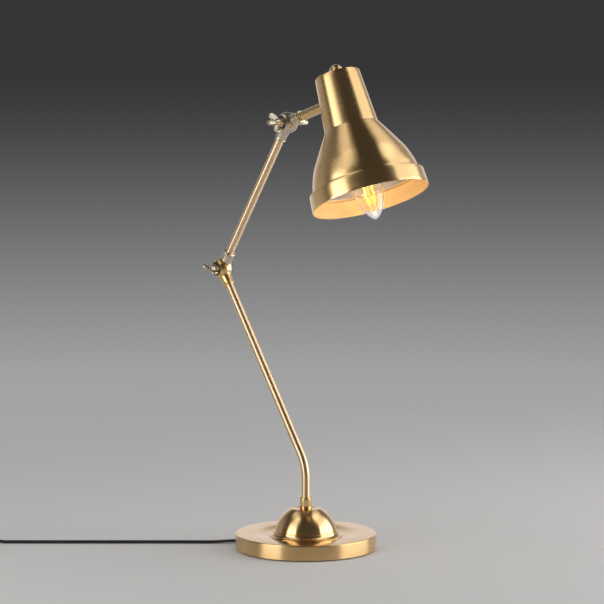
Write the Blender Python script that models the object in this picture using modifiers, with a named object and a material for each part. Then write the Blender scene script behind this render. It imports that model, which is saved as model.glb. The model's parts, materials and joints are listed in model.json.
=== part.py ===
"""Swing arm desk lamp in antique brass: weighted base, two jointed arms, bell shade and flex.

Sizes are written in millimetres and become metres where a mesh or an object is made. +Z is up, and the
origin is the middle of the felt pad's underside. The arms swing in the XZ plane, with the shade towards
+X and the wing nuts on the -Y side.
"""

import math

import bmesh
import bpy
from mathutils import Vector

MM = 0.001
GAP = 0.3  # clearance between pieces that touch
FRONT = (90, 0, 0)  # turns a piece's own +Z to face -Y

# Base
BASE_RADIUS = 82.5
BASE_TOP = 18.0
SHELL_FOOT = 0.6
SHELL_WALL = 1.2
RIM_FILLET = 1.5
DISH_LEVEL = 15.5
DISH_INNER_RADIUS = 43.0
DISH_OUTER_RADIUS = 62.0
FELT_RADIUS = 77.0
FELT_THICKNESS = 1.5
COVER_RADIUS = 80.9
COVER_BOTTOM = 1.8
COVER_TOP = 3.0
WEIGHT_RADIUS = 76.0
WEIGHT_BOTTOM = 7.0
WEIGHT_TOP = 13.9
POCKET_RADIUS = 13.0
POCKET_CEILING = 12.2
DOME_RADIUS = 37.2
DOME_CENTRE = 13.9
DOME_FLAT = 16.0
FOOT_RING_TOP = 22.0
FOOT_RING_RADIUS = 43.0
DOME_TOP = 46.9
COLLAR_RADIUS = 7.1
COLLAR_TOP = 60.0
NIPPLE_RADIUS = 4.8
NIPPLE_BORE = 3.6
NIPPLE_BOTTOM = 8.0
NIPPLE_TOP = 50.0
ROD_HOLE = 5.3  # radius of every hole that a nipple or an arm tube passes
CORD_AZIMUTH = 210.0

# Arms
TUBE_RADIUS = 5.0
TUBE_WALL = 0.9
ARM_LEAN = 33.5
BEND_HEIGHT = 97.0
BEND_RADIUS = 55.0
LOWER_ARM = 268.4  # from the bend's vertex to the elbow axis
UPPER_ARM = 211.5  # from the elbow axis to the head axis
LEAD_RADIUS = 1.4
LEAD_OFFSET = 2.2  # how far a lead keeps to its own side of a knuckle

# Knuckles
BALL_RADIUS = 12.5
HALF_GAP = 0.6
FACE = 9.5
CAVITY_RADIUS = 8.2
SWING_CLEARANCE = 13.4
SOCKET_BOTTOM = 14.2
BOLT_RADIUS = 2.4
BOLT_HOLE = 2.8
WASHER_RADIUS = 8.4
WASHER_THICKNESS = 1.0
WING_TURN_ELBOW = -22.0
WING_TURN_HEAD = -60.0

# Head
STEM_ELEVATION = 17.0
STEM_RADIUS = 5.6
STEM_REACH = 69.6  # from the head axis to the shade's outer wall
STEM_BORE = 3.8
SHADE_TILT = 21.5
SHADE_TOP = (83.4, 0.0, 54.5)  # middle of the shade's top, seen from the head axis
SHADE_WALL = 1.0
NECK_TOP_RADIUS = 26.0
NECK_RADIUS = 31.0
NECK_LENGTH = 64.3
BELL_CONE_RADIUS = 54.0
BELL_CONE_END = 103.0
BELL_RADIUS = 61.5
BELL_END = 129.3
BAND_RADIUS = 66.2
RIM_RADIUS = 67.5
SHADE_HEIGHT = 150.0
HOLDER_TOP = -44.0
HOLDER_MOUTH = -97.0
BULB_TIP = -173.8
BULB_RADIUS = 17.5
BULB_NECK = -101.3

# Flex, measured along the line that it lies on (u) and square to it (v)
CORD_RADIUS = 1.7
CORD_FLOOR = 1.75
LINE_AZIMUTH = 227.0
LINE_SHIFT = 26.0
SWITCH_START = 378.0
SWITCH_LENGTH = 58.0
SWITCH_WIDTH = 21.0
SWITCH_SPLIT = 6.0
SWITCH_TOP = 13.6
COIL_U = 482.0
COIL_MEAN_RADIUS = 28.5
COIL_WIDTH = 10.6
COIL_HEIGHT = 13.4
PLUG_U = 408.0
PLUG_HEIGHT = 13.6

# Finishes: colour, roughness, metallic
BRASS = ((0.56, 0.37, 0.17), 0.32, 1.0)
PALE_BRASS = ((0.47, 0.41, 0.30), 0.38, 1.0)
DARK_BRASS = ((0.16, 0.12, 0.08), 0.45, 1.0)
STEEL = ((0.55, 0.56, 0.58), 0.35, 1.0)
IRON = ((0.08, 0.08, 0.085), 0.7, 0.8)
FELT = ((0.03, 0.03, 0.035), 0.95, 0.0)
BLACK_PLASTIC = ((0.02, 0.02, 0.022), 0.4, 0.0)
FLEX = ((0.015, 0.015, 0.017), 0.5, 0.0)
GLASS = ((0.95, 0.93, 0.88), 0.05, 0.0)
FILAMENT = ((1.0, 0.72, 0.35), 0.5, 0.0)

for old in list(bpy.data.objects):
    bpy.data.objects.remove(old, do_unlink=True)


def new_collection(name):
    """A collection linked to the scene."""
    collection = bpy.data.collections.new(name)
    bpy.context.scene.collection.children.link(collection)
    return collection


PARTS = new_collection("swing_arm_desk_lamp")
GUIDES = new_collection("cutters")


# ---------------------------------------------------------------- helpers


def metres(values):
    """Millimetres as metres."""
    return tuple(value * MM for value in values)


def place(obj, finish=None, parent=None, at=(0, 0, 0), turn=(0, 0, 0)):
    """Puts an object in the lamp, or among the guides when it has no finish."""
    (PARTS if finish else GUIDES).objects.link(obj)
    obj.parent = parent
    obj.location = metres(at)
    obj.rotation_euler = [math.radians(angle) for angle in turn]
    if finish:
        obj.data.materials.append(material(obj.name, finish))
    else:
        obj.hide_render = True
        obj.display_type = "WIRE"
    return obj


def material(name, finish):
    """A piece's own Principled material."""
    colour, roughness, metallic = finish
    made = bpy.data.materials.new(name)
    made.use_nodes = True
    shader = made.node_tree.nodes["Principled BSDF"]
    shader.inputs["Base Color"].default_value = (*colour, 1.0)
    shader.inputs["Roughness"].default_value = roughness
    shader.inputs["Metallic"].default_value = metallic
    return made


def empty(name, parent=None, at=(0, 0, 0), turn=(0, 0, 0)):
    """An empty that carries the pieces which move or tilt together."""
    made = bpy.data.objects.new(name, None)
    PARTS.objects.link(made)
    made.parent = parent
    made.location = metres(at)
    made.rotation_euler = [math.radians(angle) for angle in turn]
    return made


def turned(name, profile, steps, closed=False, wall=0.0):
    """A turned piece: (radius, height) points, top to bottom down the outer side."""
    mesh = bpy.data.meshes.new(name)
    points = [metres((radius, 0, height)) for radius, height in profile]
    edges = [(i, i + 1) for i in range(len(points) - 1)]
    if closed:
        edges.append((len(points) - 1, 0))
    mesh.from_pydata(points, edges, [])
    obj = bpy.data.objects.new(name, mesh)
    screw = obj.modifiers.new("turn", "SCREW")
    screw.steps = steps
    screw.render_steps = steps
    screw.use_merge_vertices = True
    screw.merge_threshold = 0.00002
    if wall:
        shell = obj.modifiers.new("wall", "SOLIDIFY")
        shell.thickness = wall * MM
        shell.offset = -1
        shell.use_even_offset = True
    return obj


def ring(name, outer, inner, bottom, top, steps=20):
    """A plain ring or sleeve."""
    profile = [(outer, top), (outer, bottom), (inner, bottom), (inner, top)]
    return turned(name, profile, steps, closed=True)


def rod(name, radius, bottom, top, steps=16):
    """A plain solid rod."""
    return turned(name, [(0, top), (radius, top), (radius, bottom), (0, bottom)], steps)


def arc(centre, radius, start, end, count):
    """Points on an arc of a profile; angles in degrees from +radius towards +height."""
    angles = [math.radians(start + (end - start) * i / (count - 1)) for i in range(count)]
    return [(centre[0] + radius * math.cos(a), centre[1] + radius * math.sin(a)) for a in angles]


def wire(name, points, radius, resolution=2, caps=True):
    """A curve object of round section through the points."""
    curve = bpy.data.curves.new(name, "CURVE")
    curve.dimensions = "3D"
    curve.bevel_depth = radius * MM
    curve.bevel_resolution = resolution
    curve.use_fill_caps = caps
    spline = curve.splines.new("POLY")
    spline.points.add(len(points) - 1)
    for point, place_at in zip(spline.points, points):
        point.co = (*metres(place_at), 1.0)
    return bpy.data.objects.new(name, curve)


def as_mesh(curve_object, name):
    """The curve object's surface as a welded mesh object; the curve is removed."""
    bpy.context.scene.collection.objects.link(curve_object)
    bpy.context.view_layer.update()
    evaluated = curve_object.evaluated_get(bpy.context.evaluated_depsgraph_get())
    mesh = bpy.data.meshes.new_from_object(evaluated)
    bpy.data.objects.remove(curve_object, do_unlink=True)
    shape = bmesh.new()
    shape.from_mesh(mesh)
    bmesh.ops.remove_doubles(shape, verts=shape.verts, dist=0.00001)
    shape.to_mesh(mesh)
    shape.free()
    return bpy.data.objects.new(name, mesh)


def pipe(name, points, radius, wall, resolution=4):
    """A tube of even wall along the points, open at both ends."""
    obj = as_mesh(wire(name + "_path", points, radius, resolution, caps=False), name)
    shell = obj.modifiers.new("wall", "SOLIDIFY")
    shell.thickness = wall * MM
    shell.offset = -1
    shell.use_even_offset = True
    return obj


def plate(name, outline, thickness):
    """A flat outline, given in its own XY plane, with an even thickness about that plane."""
    curve = bpy.data.curves.new(name, "CURVE")
    curve.dimensions = "2D"
    curve.fill_mode = "BOTH"
    curve.extrude = thickness * MM / 2
    spline = curve.splines.new("POLY")
    spline.points.add(len(outline) - 1)
    for point, (x, y) in zip(spline.points, outline):
        point.co = (x * MM, y * MM, 0, 1)
    spline.use_cyclic_u = True
    return as_mesh(bpy.data.objects.new(name + "_outline", curve), name)


def box(name, size, middle):
    """A box mesh with the size and middle given in its own frame."""
    mesh = bpy.data.meshes.new(name)
    shape = bmesh.new()
    bmesh.ops.create_cube(shape, size=1.0)
    for vert in shape.verts:
        vert.co = Vector(metres(c * s + m for c, s, m in zip(vert.co, size, middle)))
    shape.to_mesh(mesh)
    shape.free()
    return bpy.data.objects.new(name, mesh)


def ball(name, radius, segments=20):
    """A sphere mesh whose poles lie on its own Y axis."""
    mesh = bpy.data.meshes.new(name)
    shape = bmesh.new()
    bmesh.ops.create_uvsphere(shape, u_segments=segments, v_segments=segments // 2, radius=radius * MM)
    for vert in shape.verts:
        vert.co = Vector((vert.co.x, -vert.co.z, vert.co.y))
    shape.to_mesh(mesh)
    shape.free()
    return bpy.data.objects.new(name, mesh)


def rounded(obj, width, segments=2):
    """Rounds an object's edges."""
    bevel = obj.modifiers.new("round", "BEVEL")
    bevel.width = width * MM
    bevel.segments = segments
    bevel.limit_method = "ANGLE"
    return obj


def combine(target, tool, operation="DIFFERENCE"):
    """Cuts the target with a guide, or joins the guide to it."""
    boolean = target.modifiers.new(tool.name, "BOOLEAN")
    boolean.operation = operation
    boolean.object = tool


def smooth_route(points, spacing):
    """Points about `spacing` apart on a smooth curve through the route's points."""
    knots = [Vector(p) for p in points]
    knots = [2 * knots[0] - knots[1], *knots, 2 * knots[-1] - knots[-2]]
    route = [knots[1]]
    for a, b, c, d in zip(knots, knots[1:], knots[2:], knots[3:]):
        count = max(1, round((c - b).length / spacing))
        for i in range(1, count + 1):
            t = i / count
            route.append(
                0.5 * (2 * b + (c - a) * t + (2 * a - 5 * b + 4 * c - d) * t**2 + (3 * b - a - 3 * c + d) * t**3)
            )
    return route


# ---------------------------------------------------------------- base


def shell_profile():
    """The base shell's outer face, from its middle hole over the dish and rim to its foot."""
    corner = (BASE_RADIUS - RIM_FILLET, BASE_TOP - RIM_FILLET)
    return [
        (ROD_HOLE, DISH_LEVEL),
        (DISH_INNER_RADIUS, DISH_LEVEL),
        ((DISH_INNER_RADIUS + DISH_OUTER_RADIUS) / 2, (DISH_LEVEL + BASE_TOP) / 2),
        (DISH_OUTER_RADIUS, BASE_TOP),
        *arc(corner, RIM_FILLET, 90, 0, 3),
        (BASE_RADIUS, SHELL_FOOT),
    ]


def build_base():
    """The weighted base, with the cord entry in its side."""
    out = Vector((math.cos(math.radians(CORD_AZIMUTH)), math.sin(math.radians(CORD_AZIMUTH)), 0))
    entry_turn = (0, 0, CORD_AZIMUTH)

    shell = place(turned("base_shell", shell_profile(), 48, wall=SHELL_WALL), BRASS)
    notch = place(box("cord_notch", (8, 7.4, 9.0), (BASE_RADIUS, 0, 1.6)), turn=entry_turn)
    combine(shell, notch)

    grommet = place(box("cord_grommet", (5.2, 6.8, 4.6), (BASE_RADIUS - 0.8, 0, 3.3)), BLACK_PLASTIC, turn=entry_turn)
    lead_hole = place(rod("grommet_hole", LEAD_RADIUS + 0.45, -8, 8), at=out * (BASE_RADIUS - 1) + Vector((0, 0, 3.3)),
                      turn=(0, 90, CORD_AZIMUTH))
    combine(grommet, lead_hole)

    place(rod("felt_pad", FELT_RADIUS, 0, FELT_THICKNESS, 48), FELT)
    cover = place(rod("bottom_cover", COVER_RADIUS, COVER_BOTTOM, COVER_TOP, 48), STEEL)
    weight_profile = [
        (ROD_HOLE, WEIGHT_TOP),
        (WEIGHT_RADIUS, WEIGHT_TOP),
        (WEIGHT_RADIUS, WEIGHT_BOTTOM),
        (POCKET_RADIUS, WEIGHT_BOTTOM),
        (POCKET_RADIUS, POCKET_CEILING),
        (ROD_HOLE, POCKET_CEILING),
    ]
    weight = place(turned("base_weight", weight_profile, 48, closed=True), IRON)

    combine(cover, place(box("cover_notch", (14, 8.4, 4), (COVER_RADIUS - 5, 0, 2)), turn=entry_turn))

    clamp = place(box("cord_clamp", (6, 16, 3.6), (68, 0, 4.95)), BLACK_PLASTIC, turn=entry_turn)
    combine(clamp, place(rod("clamp_hole", LEAD_RADIUS + 0.35, -6, 6), at=out * 68 + Vector((0, 0, 4.6)),
                         turn=(0, 90, CORD_AZIMUTH)))
    for index, aside in enumerate((-5.2, 5.2), 1):
        at = out * 68 + aside * Vector((-out.y, out.x, 0))
        combine(clamp, place(rod(f"clamp_screw_hole_{index}", 1.5, 2, 8, 12), at=at))
        combine(weight, place(rod(f"weight_clamp_hole_{index}", 1.5, 4, 12.3, 12), at=at))
        place(rod(f"clamp_screw_{index}", 1.15, 3.3, 11.8, 12), STEEL, at=at)

    dome = [(ROD_HOLE, DOME_TOP), (DOME_FLAT, DOME_TOP)]
    dome += [(DOME_RADIUS * math.sin(a), DOME_CENTRE + DOME_RADIUS * math.cos(a))
             for a in [math.radians(28 + 50.5 * i / 5) for i in range(6)]]
    dome = place(turned("base_dome", dome, 32, wall=1.2), BRASS)
    foot = DISH_LEVEL + GAP
    foot_ring = [(34.4, FOOT_RING_TOP), (35.8, FOOT_RING_TOP), (36.6, 20.4), (37.2, 18.9), (38.6, 17.4), (40.6, 16.4),
                 (FOOT_RING_RADIUS, foot + 0.2), (FOOT_RING_RADIUS, foot), (34.4, foot)]
    combine(dome, place(turned("dome_foot_ring", foot_ring, 32, closed=True)), "UNION")
    collar_bottom = DOME_TOP + GAP
    collar = [
        (COLLAR_RADIUS - 0.8, COLLAR_TOP),
        (COLLAR_RADIUS, COLLAR_TOP - 0.8),
        (COLLAR_RADIUS, collar_bottom),
        (ROD_HOLE, collar_bottom),
        (ROD_HOLE, COLLAR_TOP),
    ]
    place(turned("stem_collar", collar, 28, closed=True), BRASS)
    place(ring("base_nipple", NIPPLE_RADIUS, NIPPLE_BORE, NIPPLE_BOTTOM, NIPPLE_TOP), STEEL)
    place(ring("base_washer", 9.0, ROD_HOLE, POCKET_CEILING - 1.1, POCKET_CEILING - GAP / 2), STEEL)
    hex_nut("base_lock_nut", NIPPLE_BOTTOM + 0.3, POCKET_CEILING - 1.4)


def hex_nut(name, bottom, top, parent=None):
    """A thin hexagon nut for a nipple."""
    nut = place(rod(name, 8.0, bottom, top, 6), STEEL, parent)
    combine(nut, place(rod(name + "_hole", ROD_HOLE, bottom - 2, top + 2, 20), parent=parent))
    return nut


def polar(radius, azimuth, height=0.0):
    """A point at a radius and azimuth about the lamp's axis."""
    angle = math.radians(azimuth)
    return Vector((radius * math.cos(angle), radius * math.sin(angle), height))


# ---------------------------------------------------------------- knuckles


def neck_profile(lower, wide):
    """A knuckle casting's neck, from its socket end back into the ball."""
    if lower:
        return [(0, 21.0), (6.1, 21.0), (6.6, 20.4), (6.6, 19.2), (6.1, 18.6), (7.4, 10.0), (7.4, 6.0), (0, 6.0)]
    rim = 7.6 if wide else 7.4
    return [(0, 24.8), (rim - 0.5, 24.8), (rim, 24.2), (rim, 22.4), (rim - 0.6, 21.8), (6.5, 21.8), (6.9, 6.0), (0, 6.0)]


def knuckle(name, side, turn, finish, parent, at, socket=ROD_HOLE):
    """One half of a joint: a half ball on its side of the joint's plane, with a neck for the tube.

    Its own +Z runs along the tube and its own Y is the joint's axis.
    """
    frame = empty(name + "_frame", parent, at, (0, turn, 0))
    lower = side < 0
    obj = place(ball(name, BALL_RADIUS), finish, frame)
    neck = place(turned(name + "_neck", neck_profile(lower, socket > ROD_HOLE), 20), parent=frame)
    combine(obj, neck, "UNION")
    other_side = (90, 0, 0) if side > 0 else (-90, 0, 0)
    swing = place(rod(name + "_swing", SWING_CLEARANCE, -HALF_GAP, 20, 24), parent=frame, turn=other_side)
    combine(obj, swing)
    outer = place(rod(name + "_face", 14, -25, -FACE, 8), parent=frame, turn=other_side)
    combine(obj, outer)
    combine(obj, place(ball(name + "_cavity", CAVITY_RADIUS, 12), parent=frame))
    combine(obj, place(rod(name + "_bolt_hole", BOLT_HOLE, -30, 30), parent=frame, turn=FRONT))
    combine(obj, place(rod(name + "_socket", socket, SOCKET_BOTTOM, 25, 20), parent=frame))
    hole = place(rod(name + "_lead_hole", 1.75, 5, 15, 12), parent=frame, at=(0, side * LEAD_OFFSET, 0))
    combine(obj, hole)
    return obj


def wing_outline():
    """A rounded ear, as a tilted ellipse beside the nut's axis."""
    middle, long, short, tilt = (6.6, 18.4), 7.2, 5.0, math.radians(45)
    points = []
    for i in range(20):
        a = 2 * math.pi * i / 20
        along, across = long * math.cos(a), short * math.sin(a)
        points.append(
            (
                middle[0] + along * math.cos(tilt) - across * math.sin(tilt),
                middle[1] + along * math.sin(tilt) + across * math.cos(tilt),
            )
        )
    return points


def wing_nut(name, parent, turn):
    """A wing nut on the joint's front face; its own +Z is the bolt's axis."""
    base = FACE + WASHER_THICKNESS + 2 * GAP
    hub = [(4.2, 20.2), (4.9, 19.4), (6.2, base + 1.5), (6.2, base), (BOLT_HOLE, base), (BOLT_HOLE, 20.2)]
    nut = place(turned(name, hub, 20, closed=True), PALE_BRASS, parent, turn=(90, -turn, 0))
    for ear, mirror in (("left", -1), ("right", 1)):
        outline = [(mirror * x, y) for x, y in wing_outline()]
        wing = plate(f"{name}_{ear}_ear", outline if mirror > 0 else outline[::-1], 2.8)
        for vert in wing.data.vertices:
            vert.co = Vector((vert.co.x, -vert.co.z, vert.co.y))
        place(wing, parent=parent, turn=(90, -turn, 0))
        combine(nut, wing, "UNION")
    combine(nut, place(rod(f"{name}_bore", BOLT_HOLE - 0.1, base - 1, 26, 20), parent=parent, turn=(90, -turn, 0)))
    return nut


def joint_hardware(prefix, parent, turn):
    """The bolt, washers and wing nut of one joint, carried by the arm below it."""
    head = FACE + WASHER_THICKNESS + 2 * GAP
    bolt = [(0, 20.8), (BOLT_RADIUS - 0.5, 20.8), (BOLT_RADIUS, 20.3), (BOLT_RADIUS, -head)]
    bolt += [(4.6, -head), (4.6, -head - 1.4), (3.2, -head - 3.0), (0, -head - 3.4)]
    place(turned(prefix + "_bolt", bolt, 16), STEEL, parent, turn=FRONT)
    front = [(WASHER_RADIUS, FACE + GAP + 1), (WASHER_RADIUS, FACE + GAP), (BOLT_HOLE, FACE + GAP), (BOLT_HOLE, FACE + GAP + 1)]
    place(turned(prefix + "_front_washer", front, 20, closed=True), DARK_BRASS, parent, turn=FRONT)
    rear = [(r, -FACE - GAP - (z - FACE - GAP)) for r, z in reversed(front)]
    place(turned(prefix + "_rear_washer", rear, 20, closed=True), DARK_BRASS, parent, turn=FRONT)
    place(ring(prefix + "_friction_washer", 12.0, CAVITY_RADIUS + 0.4, -0.3, 0.3), BLACK_PLASTIC, parent, turn=FRONT)
    wing_nut(prefix + "_wing_nut", parent, turn)


# ---------------------------------------------------------------- arms


def elbow_place():
    """The elbow axis, in the lamp's frame."""
    lean = math.radians(ARM_LEAN)
    return Vector((-LOWER_ARM * math.sin(lean), 0, BEND_HEIGHT + LOWER_ARM * math.cos(lean)))


def lower_arm_line(start, end_gap):
    """Centreline from a height on the stem, round the bend, to a gap short of the elbow axis."""
    lean = math.radians(ARM_LEAN)
    tangent = BEND_RADIUS * math.tan(lean / 2)
    points = [(0, 0, start)]
    for i in range(7):
        a = lean * i / 6
        points.append(
            (-BEND_RADIUS * (1 - math.cos(a)), 0, BEND_HEIGHT - tangent + BEND_RADIUS * math.sin(a))
        )
    along = Vector((-math.sin(lean), 0, math.cos(lean)))
    points.append(tuple(elbow_place() - along * end_gap))
    return points


def build_lower_arm():
    """The bent tube, its lead and the elbow's lower casting."""
    place(pipe("lower_arm_tube", lower_arm_line(NIPPLE_TOP + GAP, SOCKET_BOTTOM + GAP), TUBE_RADIUS, TUBE_WALL), BRASS)
    out = polar(1, CORD_AZIMUTH)
    inside = [(82.9, 3.3), (76, 3.6), (70, 4.5), (50, 4.6), (25, 4.6), (9, 4.6), (5.5, 5.0), (2.8, 6.2), (1.0, 8.6), (0.1, 13)]
    route = [tuple(out * r + Vector((0, 0, z))) for r, z in inside]
    line = lower_arm_line(30, 0)
    lean = math.radians(ARM_LEAN)
    along = Vector((-math.sin(lean), 0, math.cos(lean)))
    route += line[:-1]
    for short, aside in ((150, 0), (40, 0), (21, 1.9), (14, LEAD_OFFSET), (5.6, LEAD_OFFSET)):
        route.append(tuple(elbow_place() - along * short + Vector((0, -aside, 0))))
    place(wire("lower_arm_lead", smooth_route(route, 14), LEAD_RADIUS), FLEX)
    knuckle("elbow_lower_fitting", -1, 180 - ARM_LEAN, BRASS, None, elbow_place())
    joint_hardware("elbow", empty("elbow_bolt_axis", None, elbow_place()), WING_TURN_ELBOW)


def build_upper_arm(elbow):
    """The straight tube, its lead and its two castings, carried by the elbow's axis."""
    frame = empty("upper_arm_line", elbow, turn=(0, ARM_LEAN, 0))
    inset = SOCKET_BOTTOM + GAP
    place(pipe("upper_arm_tube", [(0, 0, inset), (0, 0, UPPER_ARM - inset)], TUBE_RADIUS, TUBE_WALL), BRASS, frame)
    top = UPPER_ARM
    route = [(0, LEAD_OFFSET, 5.6), (0, LEAD_OFFSET, 14), (0, 1.9, 21), (0, 0, 40), (0, 0, top - 40),
             (0, -1.9, top - 21), (0, -LEAD_OFFSET, top - 14), (0, -LEAD_OFFSET, top - 5.6)]
    place(wire("upper_arm_lead", smooth_route(route, 16), LEAD_RADIUS), FLEX, frame)
    knuckle("elbow_upper_fitting", 1, 0, PALE_BRASS, frame, (0, 0, 0))
    knuckle("head_lower_fitting", -1, 180, PALE_BRASS, frame, (0, 0, UPPER_ARM))
    lean = math.radians(ARM_LEAN)
    head_at = Vector((UPPER_ARM * math.sin(lean), 0, UPPER_ARM * math.cos(lean)))
    joint_hardware("head", empty("head_bolt_axis", elbow, head_at), WING_TURN_HEAD)
    return empty("head_axis", elbow, head_at)


# ---------------------------------------------------------------- head


def shade_profile():
    """The shade's outer face: neck, shoulder, bell and rim band."""
    bell = [(NECK_RADIUS + 0.9, -NECK_LENGTH - 0.8)]
    bell.append((BELL_CONE_RADIUS, -BELL_CONE_END))
    for share, bulge in ((0.33, 2.4), (0.67, 2.4)):
        bell.append(
            (
                BELL_CONE_RADIUS + (BELL_RADIUS - BELL_CONE_RADIUS) * share + bulge,
                -BELL_CONE_END - (BELL_END - BELL_CONE_END) * share,
            )
        )
    return [
        (ROD_HOLE, 0),
        (NECK_TOP_RADIUS - 1.4, 0),
        (NECK_TOP_RADIUS, -1.4),
        (NECK_RADIUS, -NECK_LENGTH),
        *bell,
        (BELL_RADIUS, -BELL_END),
        (BAND_RADIUS - 0.6, -BELL_END - 1.2),
        (BAND_RADIUS, -BELL_END - 2.2),
        (RIM_RADIUS, -SHADE_HEIGHT),
    ]


def build_head(head):
    """The stem, shade, lampholder and bulb, carried by the head's axis."""
    knuckle("head_upper_fitting", 1, 90 - STEM_ELEVATION, PALE_BRASS, head, (0, 0, 0))
    stem_frame = empty("stem_line", head, turn=(0, 90 - STEM_ELEVATION, 0))
    reach = STEM_REACH
    stem = [
        (4.2, reach + 6.8), (NIPPLE_RADIUS, reach + 6.2), (NIPPLE_RADIUS, reach - GAP), (STEM_RADIUS, reach - GAP),
        (STEM_RADIUS, 25.8), (TUBE_RADIUS, 25.2), (TUBE_RADIUS, SOCKET_BOTTOM + GAP),
        (STEM_BORE, SOCKET_BOTTOM + GAP), (STEM_BORE, reach + 6.8),
    ]
    place(turned("head_stem", stem, 20, closed=True), BRASS, stem_frame)
    hex_nut("stem_lock_nut", reach + 2.9, reach + 5.9, stem_frame)

    shade_frame = empty("shade_frame", head, SHADE_TOP, (0, -SHADE_TILT, 0))
    shade = place(turned("shade", shade_profile(), 36, wall=SHADE_WALL), BRASS, shade_frame)
    combine(shade, place(rod("stem_hole", ROD_HOLE, reach - 5, reach + 5, 16), parent=stem_frame))

    finial = [(0, 12.4), (3.2, 11.8), (6.0, 9.6), (7.4, 6.6), (7.9, 3.0), (7.9, GAP), (ROD_HOLE, GAP), (ROD_HOLE, 8.6), (0, 8.6)]
    place(turned("finial_nut", finial, 20), BRASS, shade_frame)
    place(ring("holder_nipple", NIPPLE_RADIUS, NIPPLE_BORE, HOLDER_TOP - 4.5, 8.0, 20), STEEL, shade_frame)
    hex_nut("nipple_jam_nut", -4.4, -1.4, shade_frame)

    lead = [(0, LEAD_OFFSET, 5.6), (0, LEAD_OFFSET, 14), (0, 1.9, 18), (0, 0, 34), (0, 0, reach + 2), (0, 0, reach + 9),
            (2.6, 0, reach + 15.3), (9.0, 0, reach + 19.5), (15.0, 0, reach + 19.9),
            (20.5, 0, reach + 20.4)]
    place(wire("head_lead", smooth_route(lead, 8), LEAD_RADIUS), FLEX, stem_frame)
    build_lampholder(shade_frame)
    build_bulb(shade_frame)


def build_lampholder(frame):
    """The lampholder hanging from its nipple inside the shade's neck."""
    cap = [(ROD_HOLE, HOLDER_TOP), (12.2, HOLDER_TOP), (13.4, HOLDER_TOP - 0.6), (14.0, HOLDER_TOP - 2.0), (14.4, -67.4)]
    holder_cap = place(turned("holder_cap", cap, 20, wall=1.4), BLACK_PLASTIC, frame)
    combine(holder_cap, place(rod("cap_lead_hole", 2.1, -50, -40, 12), parent=frame, at=(-9.4, 0, 0)))
    body = [(0, -68), (13.6, -68), (14.0, -69), (14.0, HOLDER_MOUTH + 1), (13.2, HOLDER_MOUTH), (8.9, HOLDER_MOUTH), (8.9, -73.2), (0, -73.2)]
    place(turned("holder_body", body, 28), BLACK_PLASTIC, frame)
    place(ring("holder_screw_shell", 8.5, 7.7, HOLDER_MOUTH + 1.5, -74.5, 24), BRASS, frame)
    place(rod("holder_contact", 2.6, -75.4, -73.5, 12), BRASS, frame)


def build_bulb(frame):
    """The candle bulb: glass, cap, insulator, contact, mount and filaments."""
    tip, top = BULB_TIP, BULB_NECK
    glass = [(9.4, top), (10.6, top - 6), (13.6, top - 14), (16.6, top - 23), (BULB_RADIUS, top - 32), (16.9, top - 41),
             (14.6, top - 51), (11.2, top - 60), (7.2, top - 66.5), (3.6, tip + 1.6), (1.4, tip + 0.2), (0, tip)]
    place(turned("bulb_glass", glass, 20, wall=0.8), GLASS, frame)
    cap = [(0, -78.4), (5.6, -78.4), (6.8, -80.4), (6.8, -96.5), (9.2, top + 1.2), (9.2, top + GAP), (0, top + GAP)]
    place(turned("bulb_cap", cap, 24), STEEL, frame)
    place(turned("bulb_insulator", [(0, -77.2), (3.0, -77.2), (5.4, -78.1), (0, -78.1)], 16), BLACK_PLASTIC, frame)
    place(rod("bulb_contact", 2.0, -76.9, -75.7, 12), STEEL, frame)
    mount = [(0, top - GAP), (4.2, top - GAP), (3.4, top - 8), (1.2, top - 20), (0.9, top - 54), (0, top - 54)]
    place(turned("bulb_mount", mount, 12), GLASS, frame)
    filaments = place(ring("bulb_filaments", 5.5, 4.5, top - 52.6, top - 51.6, 16), FILAMENT, frame)
    for index in range(4):
        angle = math.radians(45 + 90 * index)
        at = (5.0 * math.cos(angle), 5.0 * math.sin(angle), 0)
        stick = place(rod(f"filament_stick_{index}", 0.95, top - 52.2, top - 18, 8), parent=frame, at=at)
        combine(filaments, stick, "UNION")


# ---------------------------------------------------------------- flex


def on_floor(u, v, z):
    """A point on the flex's line: u along it away from the lamp, v to its far side."""
    angle = math.radians(LINE_AZIMUTH)
    along = Vector((math.cos(angle), math.sin(angle), 0))
    far = Vector((along.y, -along.x, 0))
    return along * u + far * v + Vector((0, 0, z))


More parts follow.
